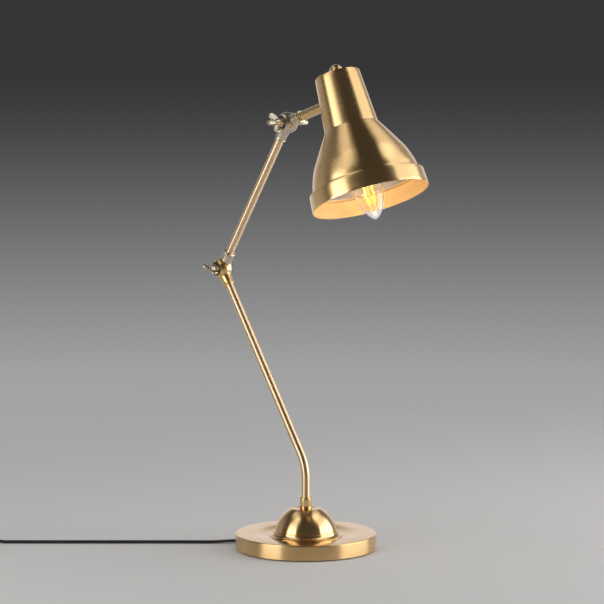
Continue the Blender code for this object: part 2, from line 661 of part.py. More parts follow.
def build_flex():
    """The flex on the table: its run, its tail, the coil and the short run to the plug."""
    exit_point = polar(BASE_RADIUS + 1.8 + GAP, CORD_AZIMUTH, 3.3)
    run = [tuple(exit_point), tuple(polar(BASE_RADIUS + 5, CORD_AZIMUTH, 3.2))]
    run += [tuple(on_floor(u, LINE_SHIFT, z)) for u, z in
            ((94, 2.6), (110, CORD_FLOOR), (150, CORD_FLOOR), (250, CORD_FLOOR), (350, CORD_FLOOR), (358, CORD_FLOOR),
             (367, 3.2), (375, 5.6), (382, 6.0), (389, 6.0))]
    place(wire("cord_run", smooth_route(run, 8), CORD_RADIUS), FLEX)

    far_end = SWITCH_START + SWITCH_LENGTH
    reach = COIL_U - 18.2
    tail = [tuple(on_floor(u, LINE_SHIFT, z)) for u, z in
            ((far_end - 11, 6.0), (far_end - 3, 6.0), (far_end + 3, 5.8), (far_end + 12, 3.8), (far_end + 21, 2.0), (reach, CORD_FLOOR))]
    place(wire("cord_tail", smooth_route(tail, 5), CORD_RADIUS), FLEX)

    inner, outer = COIL_MEAN_RADIUS - COIL_WIDTH / 2, COIL_MEAN_RADIUS + COIL_WIDTH / 2
    centre = on_floor(COIL_U, coil_v(), 0)
    place(ring("cord_coil", outer, inner, 0.05, 0.05 + COIL_HEIGHT, 40), FLEX, at=centre)

    side = coil_v() - COIL_MEAN_RADIUS - 2.65
    end = [tuple(on_floor(u, side, z)) for u, z in ((COIL_U - 18.2, 11.4), (COIL_U - 28, 9.8), (COIL_U - 38, 7.8), (PLUG_U + 22.6, 6.9))]
    place(wire("cord_plug_tail", smooth_route(end, 5), CORD_RADIUS), FLEX)
    build_switch()
    build_plug(side)


def coil_v():
    """How far the coil's middle is to the side of the flex's line, so that the flex runs into its outer turns."""
    return LINE_SHIFT - COIL_MEAN_RADIUS - 2.65


def capsule(length, width, corner, count=4):
    """A rounded rectangle's outline."""
    points = []
    for cx, cy, start in ((1, 1, 0), (-1, 1, 90), (-1, -1, 180), (1, -1, 270)):
        middle = (cx * (length / 2 - corner), cy * (width / 2 - corner))
        points += arc(middle, corner, start, start + 90, count)
    return points


def slab(name, length, width, corner, bottom, top):
    """A rounded slab between two heights."""
    made = plate(name, capsule(length, width, corner), top - bottom)
    for vert in made.data.vertices:
        vert.co.z += (bottom + top) / 2 * MM
    return made


def build_switch():
    """The inline rocker switch on the flex."""
    frame = empty("switch_frame", at=on_floor(SWITCH_START + SWITCH_LENGTH / 2, LINE_SHIFT, 0), turn=(0, 0, LINE_AZIMUTH))
    halves = (("switch_lower_shell", 0.1, SWITCH_SPLIT - 0.1), ("switch_upper_shell", SWITCH_SPLIT + 0.2, SWITCH_TOP))
    for name, bottom, top in halves:
        shell = place(slab(name, SWITCH_LENGTH, SWITCH_WIDTH, 7, bottom, top), BLACK_PLASTIC, frame)
        hollow = slab(name + "_hollow", SWITCH_LENGTH - 4, SWITCH_WIDTH - 4, 5, 1.7, SWITCH_TOP - 1.8)
        combine(shell, place(hollow, parent=frame))
        passage = place(rod(name + "_passage", CORD_RADIUS + 0.4, -40, 40), parent=frame, at=(0, 0, SWITCH_SPLIT), turn=(0, 90, 0))
        combine(shell, passage)
    window = place(box("rocker_window", (18, 10, 6), (0, 0, SWITCH_TOP - 1)), parent=frame)
    combine(bpy.data.objects["switch_upper_shell"], window)

    pivot = empty("rocker_axis", frame, (0, 0, 10.4), (0, -8, 0))
    outline = [(-8, -0.2), (-6.5, -3.0), (6.5, -3.0), (8, -0.2), (8, 2.4), (0, 3.6), (-8, 2.4)]
    rocker = plate("switch_rocker", outline, 9.0)
    for vert in rocker.data.vertices:
        vert.co = Vector((vert.co.x, -vert.co.z, vert.co.y))
    place(rocker, BLACK_PLASTIC, pivot)

    for index, at in enumerate([(-22, 5.4, 0), (22, -5.4, 0)], 1):
        hole = place(rod(f"switch_screw_hole_{index}", 1.5, -1, 5, 12), parent=frame, at=at)
        combine(bpy.data.objects["switch_lower_shell"], hole)
        place(rod(f"switch_screw_{index}", 1.1, 0.3, 5.2, 12), STEEL, frame, at=at)


def build_plug(side):
    """A flat two-pin plug lying beside the coil, its pins towards the lamp."""
    frame = empty("plug_frame", at=on_floor(PLUG_U, side, 0.1), turn=(0, 0, LINE_AZIMUTH + 180))
    outline = [(16, -17.6), (18, -15.6), (18, 15.6), (16, 17.6), (2, 17.6), (-14, 7.0), (-14, -7.0), (2, -17.6)]
    body = plate("plug_body", outline, PLUG_HEIGHT)
    for vert in body.data.vertices:
        vert.co.z += PLUG_HEIGHT / 2 * MM
    place(body, BLACK_PLASTIC, frame)
    relief = [(0, 12), (5.6, 12), (3.0, -8), (0, -8)]
    middle = PLUG_HEIGHT / 2
    sleeve = place(turned("plug_relief", relief, 16), parent=frame, at=(-14, 0, middle), turn=(0, 90, 0))
    combine(body, sleeve, "UNION")
    rounded(body, 1.0)
    pin = [(0, 19), (1.2, 19), (2.0, 18), (2.0, GAP), (0, GAP)]
    for index, aside in enumerate((-9.2, 9.2), 1):
        place(turned(f"plug_pin_{index}", pin, 12), STEEL, frame, at=(18, aside, middle), turn=(0, 90, 0))


build_base()
build_lower_arm()
elbow_axis = empty("elbow_axis", at=elbow_place())
head_axis = build_upper_arm(elbow_axis)
build_head(head_axis)
build_flex()
for made in PARTS.objects:
    if made.type == "MESH":
        made.data.shade_smooth()
        made.data.set_sharp_from_angle(angle=math.radians(35))
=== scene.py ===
"""Swing arm desk lamp in antique brass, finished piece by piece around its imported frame.

Sizes are in millimetres and become metres where a mesh is made. The frame is the lamp's own: +Z is up, the
origin is the middle of the felt pad's underside, and the arms swing in the XZ plane.
"""

from __future__ import annotations

import json
import logging
import math
from dataclasses import dataclass
from enum import Enum

import bpy
from mathutils import Matrix, Vector

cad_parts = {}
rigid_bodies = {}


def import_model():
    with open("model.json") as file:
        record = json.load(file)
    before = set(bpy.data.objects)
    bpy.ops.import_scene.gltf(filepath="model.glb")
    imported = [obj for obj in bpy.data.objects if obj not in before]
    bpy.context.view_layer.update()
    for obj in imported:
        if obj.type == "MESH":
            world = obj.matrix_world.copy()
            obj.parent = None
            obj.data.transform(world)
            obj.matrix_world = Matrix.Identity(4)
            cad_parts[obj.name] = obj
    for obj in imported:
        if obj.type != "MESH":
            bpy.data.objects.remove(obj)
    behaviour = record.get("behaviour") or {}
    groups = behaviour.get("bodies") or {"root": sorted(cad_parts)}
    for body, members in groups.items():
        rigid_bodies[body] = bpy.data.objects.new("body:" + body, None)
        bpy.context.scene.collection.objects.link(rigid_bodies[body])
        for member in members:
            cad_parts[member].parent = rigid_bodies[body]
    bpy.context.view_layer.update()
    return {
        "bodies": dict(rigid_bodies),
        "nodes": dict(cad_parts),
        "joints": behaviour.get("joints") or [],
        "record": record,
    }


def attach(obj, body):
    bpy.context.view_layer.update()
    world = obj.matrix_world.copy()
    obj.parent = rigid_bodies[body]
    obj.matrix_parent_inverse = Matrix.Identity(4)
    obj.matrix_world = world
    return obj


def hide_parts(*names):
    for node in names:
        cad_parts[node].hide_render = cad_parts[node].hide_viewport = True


MM = 0.001
MERGE = 1e-6
SMOOTH_ANGLE = math.radians(32)
STAND_AZIMUTH = 47.0  # where the viewer stands round the lamp
SOFT_WHITE = (1.0, 0.985, 0.96)
Profile = list[tuple[float, float]]

log = logging.getLogger("desk_lamp")


# ---------------------------------------------------------------- modelling by operators


def mm(*values: float) -> Vector:
    """A point or a length in metres, from millimetres."""
    return Vector(values) * MM


def turned_by(axis: str, degrees: float) -> Matrix:
    """A turn about one of the frame's axes."""
    return Matrix.Rotation(math.radians(degrees), 4, axis)


def at(x: float, y: float, z: float) -> Matrix:
    """A shift, from millimetres."""
    return Matrix.Translation(mm(x, y, z))


def arc(centre: tuple[float, float], radius: float, start: float, end: float, count: int = 8) -> Profile:
    """Points on an arc of a profile, its angles in degrees from +radius towards +height."""
    steps = [math.radians(start + (end - start) * i / (count - 1)) for i in range(count)]
    return [(centre[0] + radius * math.cos(a), centre[1] + radius * math.sin(a)) for a in steps]


def spans(knots: list[Vector]) -> zip:
    """Each span of a smooth curve: the knot before it, its two ends and the knot after it."""
    knots = [2 * knots[0] - knots[1], *knots, 2 * knots[-1] - knots[-2]]
    return zip(knots, knots[1:], knots[2:], knots[3:])


def along_span(a: Vector, b: Vector, c: Vector, d: Vector, t: float) -> Vector:
    """The point t of the way from b to c on the smooth curve through four knots."""
    return 0.5 * (2 * b + (c - a) * t + (2 * a - 5 * b + 4 * c - d) * t**2 + (3 * b - a - 3 * c + d) * t**3)


def flowing(knots: Profile, count: int = 8) -> Profile:
    """Points on a smooth curve through a profile's knots.

    Args:
        knots: the points that the curve passes through.
        count: how many steps there are between two knots.

    Returns:
        The curve's points.
    """
    points = [Vector(k) for k in knots]
    route = [tuple(points[0])]
    for span in spans(points):
        route += [tuple(along_span(*span, i / count)) for i in range(1, count + 1)]
    return route


def inside_of(outer: Profile, wall: float) -> Profile:
    """The inner face of an open profile.

    Args:
        outer: the profile's outer face.
        wall: how far in the inner face lies.

    Returns:
        The inner face's points, in the outer face's order.
    """
    points = [Vector(p) for p in outer]
    inner = []
    for i, point in enumerate(points):
        before = (point - points[i - 1]).normalized() if i else None
        after = (points[i + 1] - point).normalized() if i + 1 < len(points) else None
        sides = [Vector((d.y, -d.x)) for d in (before, after) if d is not None]
        middle = sum(sides, Vector((0, 0))).normalized()
        inner.append(tuple(point + middle * wall / max(0.5, middle.dot(sides[0]))))
    return inner


def deselect() -> None:
    """Leaves edit mode with nothing selected."""
    if bpy.context.object and bpy.context.object.mode != "OBJECT":
        bpy.ops.object.mode_set(mode="OBJECT")
    bpy.ops.object.select_all(action="DESELECT")


def pick(piece: bpy.types.Object) -> None:
    """Selects one piece alone and makes it active."""
    deselect()
    piece.select_set(True)
    bpy.context.view_layer.objects.active = piece


def named(name: str) -> bpy.types.Object:
    """The active piece, under its name."""
    piece = bpy.context.object
    piece.name = piece.data.name = name
    return piece


def linked(name: str, data: bpy.types.ID) -> bpy.types.Object:
    """A new object in the scene that holds a light, a camera or a curve."""
    holder = bpy.data.objects.new(name, data)
    bpy.context.scene.collection.objects.link(holder)
    return holder


def settle(piece: bpy.types.Object, frame: Matrix | None = None) -> bpy.types.Object:
    """Puts a piece in its place and moves that place into its mesh."""
    pick(piece)
    piece.matrix_world = (frame or Matrix.Identity(4)) @ piece.matrix_world
    bpy.ops.object.transform_apply(location=True, rotation=True, scale=True)
    return piece


def finished(piece: bpy.types.Object, frame: Matrix | None = None, edge: float = 0.0,
             segments: int = 3) -> bpy.types.Object:
    """Rounds a piece's edges, smooths its faces and settles it.

    Args:
        piece: the mesh object.
        frame: its place, or None where it is there already.
        edge: how wide its edges are rounded, in millimetres.
        segments: how many faces a rounded edge has.

    Returns:
        The piece.
    """
    pick(piece)
    if edge:
        modify(piece, "BEVEL", width=edge * MM, segments=segments, limit_method="ANGLE",
               angle_limit=SMOOTH_ANGLE, use_clamp_overlap=True)
    bpy.ops.object.shade_smooth_by_angle(angle=SMOOTH_ANGLE)
    return settle(piece, frame)


def modify(piece: bpy.types.Object, kind: str, **settings: object) -> None:
    """Adds a modifier with its settings and applies it."""
    pick(piece)
    modifier = piece.modifiers.new(kind.lower(), kind)
    for name, value in settings.items():
        setattr(modifier, name, value)
    bpy.ops.object.modifier_apply(modifier=modifier.name)


def combine(piece: bpy.types.Object, tool: bpy.types.Object, operation: str = "DIFFERENCE") -> None:
    """Cuts a piece with a tool, or joins the tool to it, and throws the tool away."""
    modify(piece, "BOOLEAN", operation=operation, object=tool, solver="EXACT")
    bpy.data.objects.remove(tool, do_unlink=True)


def first_point(name: str, place: Vector) -> bpy.types.Object:
    """Starts a mesh from one point, and stays in edit mode with the point selected.

    Args:
        name: the piece's name.
        place: where the point is, in metres.

    Returns:
        The new piece.
    """
    deselect()
    bpy.ops.mesh.primitive_plane_add(size=MM)
    piece = named(name)
    bpy.ops.object.mode_set(mode="EDIT")
    bpy.ops.mesh.select_mode(type="VERT")
    bpy.ops.mesh.select_all(action="SELECT")
    bpy.ops.mesh.merge(type="CENTER")
    bpy.ops.transform.translate(value=place)
    return piece


def tidy_mesh() -> None:
    """Merges doubles and turns every face outwards, in edit mode."""
    bpy.ops.mesh.select_all(action="SELECT")
    bpy.ops.mesh.remove_doubles(threshold=MERGE)
    bpy.ops.mesh.normals_make_consistent(inside=False)


def lathe(name: str, profile: Profile, frame: Matrix | None = None, steps: int = 64, edge: float = 0.0,
          segments: int = 3) -> bpy.types.Object:
    """A piece turned round its own Z axis.

    Args:
        name: the piece's name.
        profile: (radius, height) points; its ends are joined unless both lie on the axis.
        frame: where the piece's own axes are put.
        steps: how many faces there are round it.
        edge: how wide its edges are rounded.
        segments: how many faces a rounded edge has.

    Returns:
        The finished piece.
    """
    piece = first_point(name, mm(profile[0][0], 0, profile[0][1]))
    solid = profile[0][0] == 0 and profile[-1][0] == 0
    ends = profile[1:] if solid else profile[1:] + profile[:1]
    for here, there in zip(profile, ends):
        step = mm(there[0] - here[0], 0, there[1] - here[1])
        bpy.ops.mesh.extrude_vertices_move(TRANSFORM_OT_translate={"value": step})
    bpy.ops.mesh.select_all(action="SELECT")
    bpy.ops.mesh.remove_doubles(threshold=MERGE)
    bpy.ops.mesh.spin(steps=steps, angle=math.tau, center=(0, 0, 0), axis=(0, 0, 1))
    tidy_mesh()
    return finished(piece, frame, edge, segments)


def plate(name: str, outline: Profile, low: float, high: float, frame: Matrix | None = None, edge: float = 0.0,
          segments: int = 3) -> bpy.types.Object:
    """A flat outline in its own XY plane, extruded from one height to another.

    Args:
        name: the piece's name.
        outline: the outline's points, in order round it.
        low: the lower face's height.
        high: the upper face's height.
        frame: where the piece's own axes are put.
        edge: how wide its edges are rounded.
        segments: how many faces a rounded edge has.

    Returns:
        The finished piece.
    """
    piece = first_point(name, mm(*outline[0], low))
    for here, there in zip(outline, outline[1:]):
        step = mm(there[0] - here[0], there[1] - here[1], 0)
        bpy.ops.mesh.extrude_vertices_move(TRANSFORM_OT_translate={"value": step})
    bpy.ops.mesh.select_all(action="SELECT")
    bpy.ops.mesh.edge_face_add()
    bpy.ops.mesh.extrude_region_move(TRANSFORM_OT_translate={"value": mm(0, 0, high - low)})
    tidy_mesh()
    return finished(piece, frame, edge, segments)


def rod(name: str, radius: float, low: float, high: float, frame: Matrix | None = None,
        steps: int = 40) -> bpy.types.Object:
    """A plain round tool between two heights."""
    return lathe(name, [(0, high), (radius, high), (radius, low), (0, low)], frame, steps)


def capsule(length: float, width: float, corner: float, count: int = 8) -> Profile:
    """A rounded rectangle's outline.

    Args:
        length: its size along X.
        width: its size along Y.
        corner: its corners' radius.
        count: how many points a corner has.

    Returns:
        The outline's points.
    """
    points: Profile = []
    for x, y, start in ((1, 1, 0), (-1, 1, 90), (-1, -1, 180), (1, -1, 270)):
        points += arc((x * (length / 2 - corner), y * (width / 2 - corner)), corner, start, start + 90, count)
    return points


# ---------------------------------------------------------------- finishes


class Lay(Enum):
    """How a metal's fine lines run."""

    ROUND = "round the piece's axis"
    CAST = "in no direction"


class Bench:
    """A material's node tree, built one node at a time."""

    def __init__(self, name: str) -> None:
        """Makes the material, with its shader and output."""
        self.material = bpy.data.materials.new(name)
        self.material.use_nodes = True
        self.tree = self.material.node_tree
        self.shader = self.tree.nodes["Principled BSDF"]

    def add(self, kind: str, settings: dict | None = None, **inputs: object) -> bpy.types.Node:
        """Adds a node.

        Args:
            kind: the node's type, without its prefix.
            settings: the node's own properties.
            inputs: a value or an output for each named socket; a socket's spaces are underscores.

        Returns:
            The node.
        """
        node = self.tree.nodes.new("ShaderNode" + kind)
        for key, value in (settings or {}).items():
            setattr(node, key, value)
        for key, value in inputs.items():
            self.feed(node, key.replace("_", " "), value)
        return node

    def feed(self, node: bpy.types.Node, socket: str, value: object) -> None:
        """Links an output to a socket, or sets the socket's value.

        Args:
            node: the node that is fed.
            socket: the socket's name, or s and its number.
            value: an output or a plain value.
        """
        numbered = socket[:1] == "s" and socket[1:].isdigit()
        target = node.inputs[int(socket[1:]) if numbered else socket]
        if isinstance(value, bpy.types.NodeSocket):
            self.tree.links.new(value, target)
        else:
            target.default_value = value

    def dress(self, **inputs: object) -> None:
        """Feeds the shader's own sockets."""
        for key, value in inputs.items():
            self.feed(self.shader, key.replace("_", " "), value)

    def maths(self, operation: str, first: object, second: object = 0.0) -> bpy.types.NodeSocket:
        """One sum on two numbers."""
        return self.add("Math", {"operation": operation}, s0=first, s1=second).outputs[0]

    def vector(self, operation: str, first: object, second: object | None = None) -> bpy.types.Node:
        """One sum on vectors."""
        node = self.add("VectorMath", {"operation": operation}, s0=first)
        if second is not None:
            self.feed(node, "s1", second)
        return node

    def own_place(self, frame: Matrix) -> bpy.types.NodeSocket:
        """Where a point is on its piece, in metres, on the piece's own axes."""
        place = self.add("TexCoord").outputs["Object"]
        location, turn, _ = frame.decompose()
        return self.add("Mapping", {"vector_type": "TEXTURE"}, Vector=place, Location=location,
                        Rotation=turn.to_euler()).outputs[0]

    def noise(self, place: object, scale: float, detail: float = 2.0, roughness: float = 0.5) -> object:
        """A noise's value over a place."""
        return self.add("TexNoise", Vector=place, Scale=scale, Detail=detail, Roughness=roughness).outputs[0]

    def spread(self, value: object, low: float, high: float, start: float = 0.3, end: float = 0.7) -> object:
        """A noise's middle range, stretched between two numbers."""
        node = self.add("MapRange", Value=value, s1=start, s2=end, s3=low, s4=high)
        return node.outputs[0]

    def eased(self, value: object, start: float, end: float, low: float = 0.0, high: float = 1.0) -> object:
        """A value's way from start to end, eased and stretched between two numbers."""
        return self.add("MapRange", {"interpolation_type": "SMOOTHSTEP"}, Value=value, s1=start, s2=end, s3=low,
                        s4=high).outputs[0]

    def blend(self, share: object, first: object, second: object) -> bpy.types.NodeSocket:
        """A colour between two colours."""
        node = self.add("Mix", {"data_type": "RGBA"}, s0=share, s6=first, s7=second)
        return node.outputs[2]

    def bump(self, height: object, strength: float, depth: float, under: object | None = None) -> object:
        """A bumped normal; the depth is in millimetres."""
        node = self.add("Bump", Height=height, Strength=strength, Distance=depth * MM)
        if under is not None:
            self.feed(node, "Normal", under)
        return node.outputs[0]


class Room(Bench):
    """The world's node tree, built in the same way as a material's."""

    def __init__(self, name: str) -> None:
        """Makes the world, with an empty tree."""
        world = bpy.data.worlds.new(name)
        bpy.context.scene.world = world
        world.use_nodes = True
        self.tree = world.node_tree
        self.tree.nodes.clear()


def colour(red: float, green: float, blue: float) -> tuple[float, float, float, float]:
    """An opaque colour."""
    return (red, green, blue, 1.0)


@dataclass(frozen=True)
class Metal:
    """A metal with fine lines or grain, patches of patina and a soft or bright shine."""

    name: str
    bright: tuple[float, float, float, float]
    aged: tuple[float, float, float, float]
    roughness: float
    lay: Lay = Lay.CAST
    pull: float = 0.0  # how far the lines stretch a highlight
    pitch: float = 0.5  # spacing of the lines or grains in millimetres
    relief: float = 0.25
    ageing: float = 0.5

    def over(self, frame: Matrix | None = None, carried: str = "") -> bpy.types.Material:
        """The metal on a piece whose own Z axis runs up the frame's.

        Args:
            frame: the piece's own axes.
            carried: the attribute that holds the way round the piece, where no single axis gives it.

        Returns:
            The material.
        """
        frame = frame or Matrix.Identity(4)
        bench = Bench(self.name)
        place = bench.own_place(frame)
        split = bench.add("SeparateXYZ", Vector=place).outputs
        flat = bench.add("CombineXYZ", X=split[0], Y=split[1]).outputs[0]
        reach = bench.vector("LENGTH", flat).outputs["Value"]
        if self.lay is Lay.ROUND:
            way = bench.vector("NORMALIZE", flat).outputs[0]
            way = bench.vector("MULTIPLY", way, (1.3, 1.3, 0.0)).outputs[0]
            along = bench.maths("MULTIPLY", bench.maths("SUBTRACT", split[2], reach), 1 / (self.pitch * MM))
            grain_place = bench.vector("ADD", way, bench.add("CombineXYZ", Z=along).outputs[0]).outputs[0]
        else:
            grain = 1 / (self.pitch * MM)
            grain_place = bench.vector("MULTIPLY", place, (grain, grain, grain)).outputs[0]
        lines = bench.noise(grain_place, 1.0, 3.0, 0.65)
        streaks = bench.noise(bench.vector("MULTIPLY", grain_place, (1.0, 1.0, 0.23)).outputs[0], 1.0, 2.0)
        patches = bench.noise(place, 38.0, 4.0, 0.6)
        worn = bench.maths("MULTIPLY", bench.spread(patches, 0.0, 1.0), self.ageing)
        marked = bench.maths("MULTIPLY", bench.spread(streaks, 0.0, 1.0), 0.14 * self.ageing)
        share = bench.add("Math", {"operation": "ADD", "use_clamp": True}, s0=worn, s1=marked).outputs[0]
        rough = bench.maths("ADD", bench.spread(lines, -0.03, 0.03), bench.spread(patches, -0.02, 0.03))
        rough = bench.maths("ADD", rough, self.roughness)
        bench.dress(Base_Color=bench.blend(share, self.bright, self.aged), Metallic=1.0, Roughness=rough,
                    Normal=bench.bump(lines, self.relief, 0.02))
        if self.pull:
            bench.dress(Anisotropic=self.pull, Anisotropic_Rotation=0.25)
            axis = frame.to_3x3() @ Vector((0, 0, 1))
            spot = bench.vector("SUBTRACT", bench.add("TexCoord").outputs["Object"],
                                tuple(frame.translation)).outputs[0]
            round_it = bench.vector("CROSS_PRODUCT", tuple(axis), spot).outputs[0]
            if carried:
                round_it = bench.add("Attribute", {"attribute_name": carried}).outputs["Vector"]
            turned = bench.add("VectorTransform", {"vector_type": "VECTOR", "convert_from": "OBJECT",
                                                   "convert_to": "WORLD"}, Vector=round_it).outputs[0]
            bench.dress(Tangent=turned)
        return bench.material


@dataclass(frozen=True)
class Moulding:
    """Moulded plastic, PVC or iron: a fine grain, faint flow marks and a little handling shine."""

    name: str
    body: tuple[float, float, float, float]
    rubbed: tuple[float, float, float, float]
    roughness: float
    grain: float = 0.4
    relief: float = 0.3
    metallic: float = 0.0

    def over(self, frame: Matrix | None = None) -> bpy.types.Material:
        """The moulding on any piece."""
        bench = Bench(self.name)
        place = bench.own_place(frame or Matrix.Identity(4))
        fine = bench.noise(place, 1 / (self.grain * MM), 3.0, 0.6)
        broad = bench.noise(place, 60.0, 3.0)
        rough = bench.maths("ADD", bench.spread(broad, -0.06, 0.08), self.roughness)
        bench.dress(Base_Color=bench.blend(bench.spread(broad, 0.0, 1.0), self.body, self.rubbed),
                    Metallic=self.metallic, Roughness=rough,
                    Normal=bench.bump(fine, self.relief, 0.05))
        return bench.material


@dataclass(frozen=True)
class Felt:
    """Pressed wool felt."""

    name: str = "pressed_felt"

    def over(self, frame: Matrix | None = None) -> bpy.types.Material:
        """The felt on the base's pad."""
        bench = Bench(self.name)
        place = bench.own_place(frame or Matrix.Identity(4))
        fibres = bench.noise(bench.vector("MULTIPLY", place, (2600.0, 900.0, 900.0)).outputs[0], 1.0, 4.0, 0.7)
        lint = bench.noise(place, 240.0, 3.0)
        dark, pale = colour(0.014, 0.015, 0.017), colour(0.05, 0.05, 0.056)
        shade = bench.blend(bench.spread(fibres, 0.0, 1.0), dark, pale)
        bench.dress(Base_Color=shade, Roughness=bench.spread(lint, 0.88, 1.0), Sheen_Weight=0.4,
                    Normal=bench.bump(fibres, 0.7, 0.25))
        return bench.material


@dataclass(frozen=True)
class ClearGlass:
    """Blown bulb glass with the faintest smears."""

    name: str = "bulb_clear_glass"

    def over(self, frame: Matrix | None = None) -> bpy.types.Material:
        """The glass on the bulb."""
        bench = Bench(self.name)
        place = bench.own_place(frame or Matrix.Identity(4))
        smears = bench.noise(bench.vector("MULTIPLY", place, (120.0, 120.0, 30.0)).outputs[0], 1.0, 3.0)
        bench.dress(Base_Color=colour(1.0, 0.985, 0.96), Transmission_Weight=1.0, IOR=1.47,
                    Roughness=bench.spread(smears, 0.0, 0.03),
                    Normal=bench.bump(bench.noise(place, 160.0, 1.0), 0.05, 0.05))
        return bench.material


@dataclass(frozen=True)
class Glow:
    """A lit filament stick: warm phosphor whose glow varies a little along it."""

    name: str = "lit_filament"
    strength: float = 0.95

    def over(self, frame: Matrix | None = None) -> bpy.types.Material:
        """The glow on the bulb's sticks."""
        bench = Bench(self.name)
        place = bench.own_place(frame or Matrix.Identity(4))
        beads = bench.spread(bench.noise(place, 700.0, 2.0), 0.0, 1.0)
        warm = bench.blend(beads, colour(0.9, 0.46, 0.02), colour(1.0, 0.62, 0.06))
        bench.dress(Base_Color=warm, Roughness=0.5, Emission_Color=warm, Emission_Strength=self.strength)
        return bench.material


BRASS_BRIGHT = colour(0.88, 0.61, 0.30)
BRASS_AGED = colour(0.74, 0.48, 0.21)
SHADE_BRASS = Metal("brushed_brass_shade", BRASS_BRIGHT, BRASS_AGED, 0.24, Lay.ROUND, 0.92, 0.5, 0.05, 0.4)
RIM_BRASS = Metal("brushed_brass_rim", BRASS_BRIGHT, BRASS_AGED, 0.3, Lay.ROUND, 0.9, 0.6, 0.08, 0.4)
DISH_BRASS = Metal("brushed_brass_dish", BRASS_BRIGHT, BRASS_AGED, 0.16, Lay.ROUND, 0.3, 0.6, 0.06, 0.4)
DOME_BRASS = Metal("brushed_brass_dome", BRASS_BRIGHT, BRASS_AGED, 0.22, Lay.ROUND, 0.85, 0.5, 0.1, 0.4)
TUBE_BRASS = Metal("polished_brass_tube", colour(0.88, 0.66, 0.42), colour(0.74, 0.52, 0.3), 0.34, Lay.ROUND,
                   0.93, 0.5, 0.004, 0.08)
TURNED_BRASS = Metal("turned_brass", BRASS_BRIGHT, BRASS_AGED, 0.22, Lay.ROUND, 0.3, 0.3, 0.12, 0.5)
CAST_BRASS = Metal("cast_brass", colour(0.82, 0.56, 0.25), colour(0.66, 0.42, 0.17), 0.27, Lay.CAST, 0.0, 2.4,
                   0.03, 0.4)
PALE_BRASS = Metal("pale_cast_brass", colour(0.70, 0.63, 0.49), colour(0.56, 0.48, 0.35), 0.3, Lay.CAST, 0.0,
                   2.4, 0.03, 0.4)
DARK_BRASS = Metal("darkened_brass", colour(0.12, 0.09, 0.055), colour(0.05, 0.036, 0.022), 0.4, Lay.ROUND, 0.0,
                   0.3, 0.2, 0.7)
PLATED_STEEL = Metal("plated_steel", colour(0.62, 0.63, 0.65), colour(0.42, 0.42, 0.43), 0.26, Lay.ROUND, 0.0,
                     0.3, 0.15, 0.4)
SATIN_LINING = Moulding("satin_gold_lining", colour(0.90, 0.63, 0.32), colour(0.84, 0.56, 0.26), 0.5, 0.8, 0.08,
                        0.4)
PALE_LINING = Moulding("pale_inner_lining", colour(0.40, 0.38, 0.38), colour(0.32, 0.30, 0.30), 0.45, 0.8, 0.08,
                       0.5)
CAST_IRON = Moulding("cast_iron", colour(0.05, 0.05, 0.055), colour(0.1, 0.09, 0.085), 0.7, 0.9, 0.7, 0.8)
BLACK_PLASTIC = Moulding("moulded_black_plastic", colour(0.012, 0.012, 0.013), colour(0.022, 0.022, 0.024), 0.34,
                         0.3, 0.22)
HOLDER_PLASTIC = Moulding("phenolic_holder", colour(0.02, 0.014, 0.011), colour(0.035, 0.024, 0.018), 0.3, 0.5,
                          0.15)
FLEX_SLEEVE = Moulding("flex_sleeve", colour(0.008, 0.008, 0.009), colour(0.018, 0.018, 0.02), 0.42, 0.5, 0.3)
GREY_FIBRE = Moulding("fibre_washer", colour(0.05, 0.045, 0.04), colour(0.09, 0.08, 0.07), 0.7, 0.4, 0.4)


class Slot(Enum):
    """The record's names for the finishes that a piece may take."""

    BASE = "brass_base"
    TUBE = "brass_tube"
    SHADE = "brass_shade"
    CAST = "cast_brass"
    PALE = "pale_cast_brass"
    DARK = "dark_brass"
    STEEL = "steel"
    IRON = "cast_iron"
    FELT = "felt"
    PLASTIC = "black_plastic"
    FLEX = "flex"
    CONTACT = "contact_brass"
    GLASS = "bulb_glass"
    CAP = "bulb_cap"
    FILAMENT = "filament"


def dress(piece: bpy.types.Object, body: str, slot: Slot, *materials: bpy.types.Material,
          stands_for: tuple[str, ...] = ()) -> bpy.types.Object:
    """Gives a piece its finish, its body and the nodes that it stands for, and reports it.

    Args:
        piece: the finished mesh object.
        body: the body that it rides on.
        slot: the record's name for its finish; not used.
        materials: its materials, the first of which covers it all at the start.
        stands_for: the frame's nodes that it replaces.

    Returns:
        The piece.
    """
    piece.data.materials.clear()
    for material in materials:
        piece.data.materials.append(material)
    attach(piece, body)
    if stands_for:
        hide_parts(*stands_for)
    log.info("%s rides on %s, %d faces", piece.name, body, len(piece.data.polygons))
    return piece


# ---------------------------------------------------------------- the lamp's line


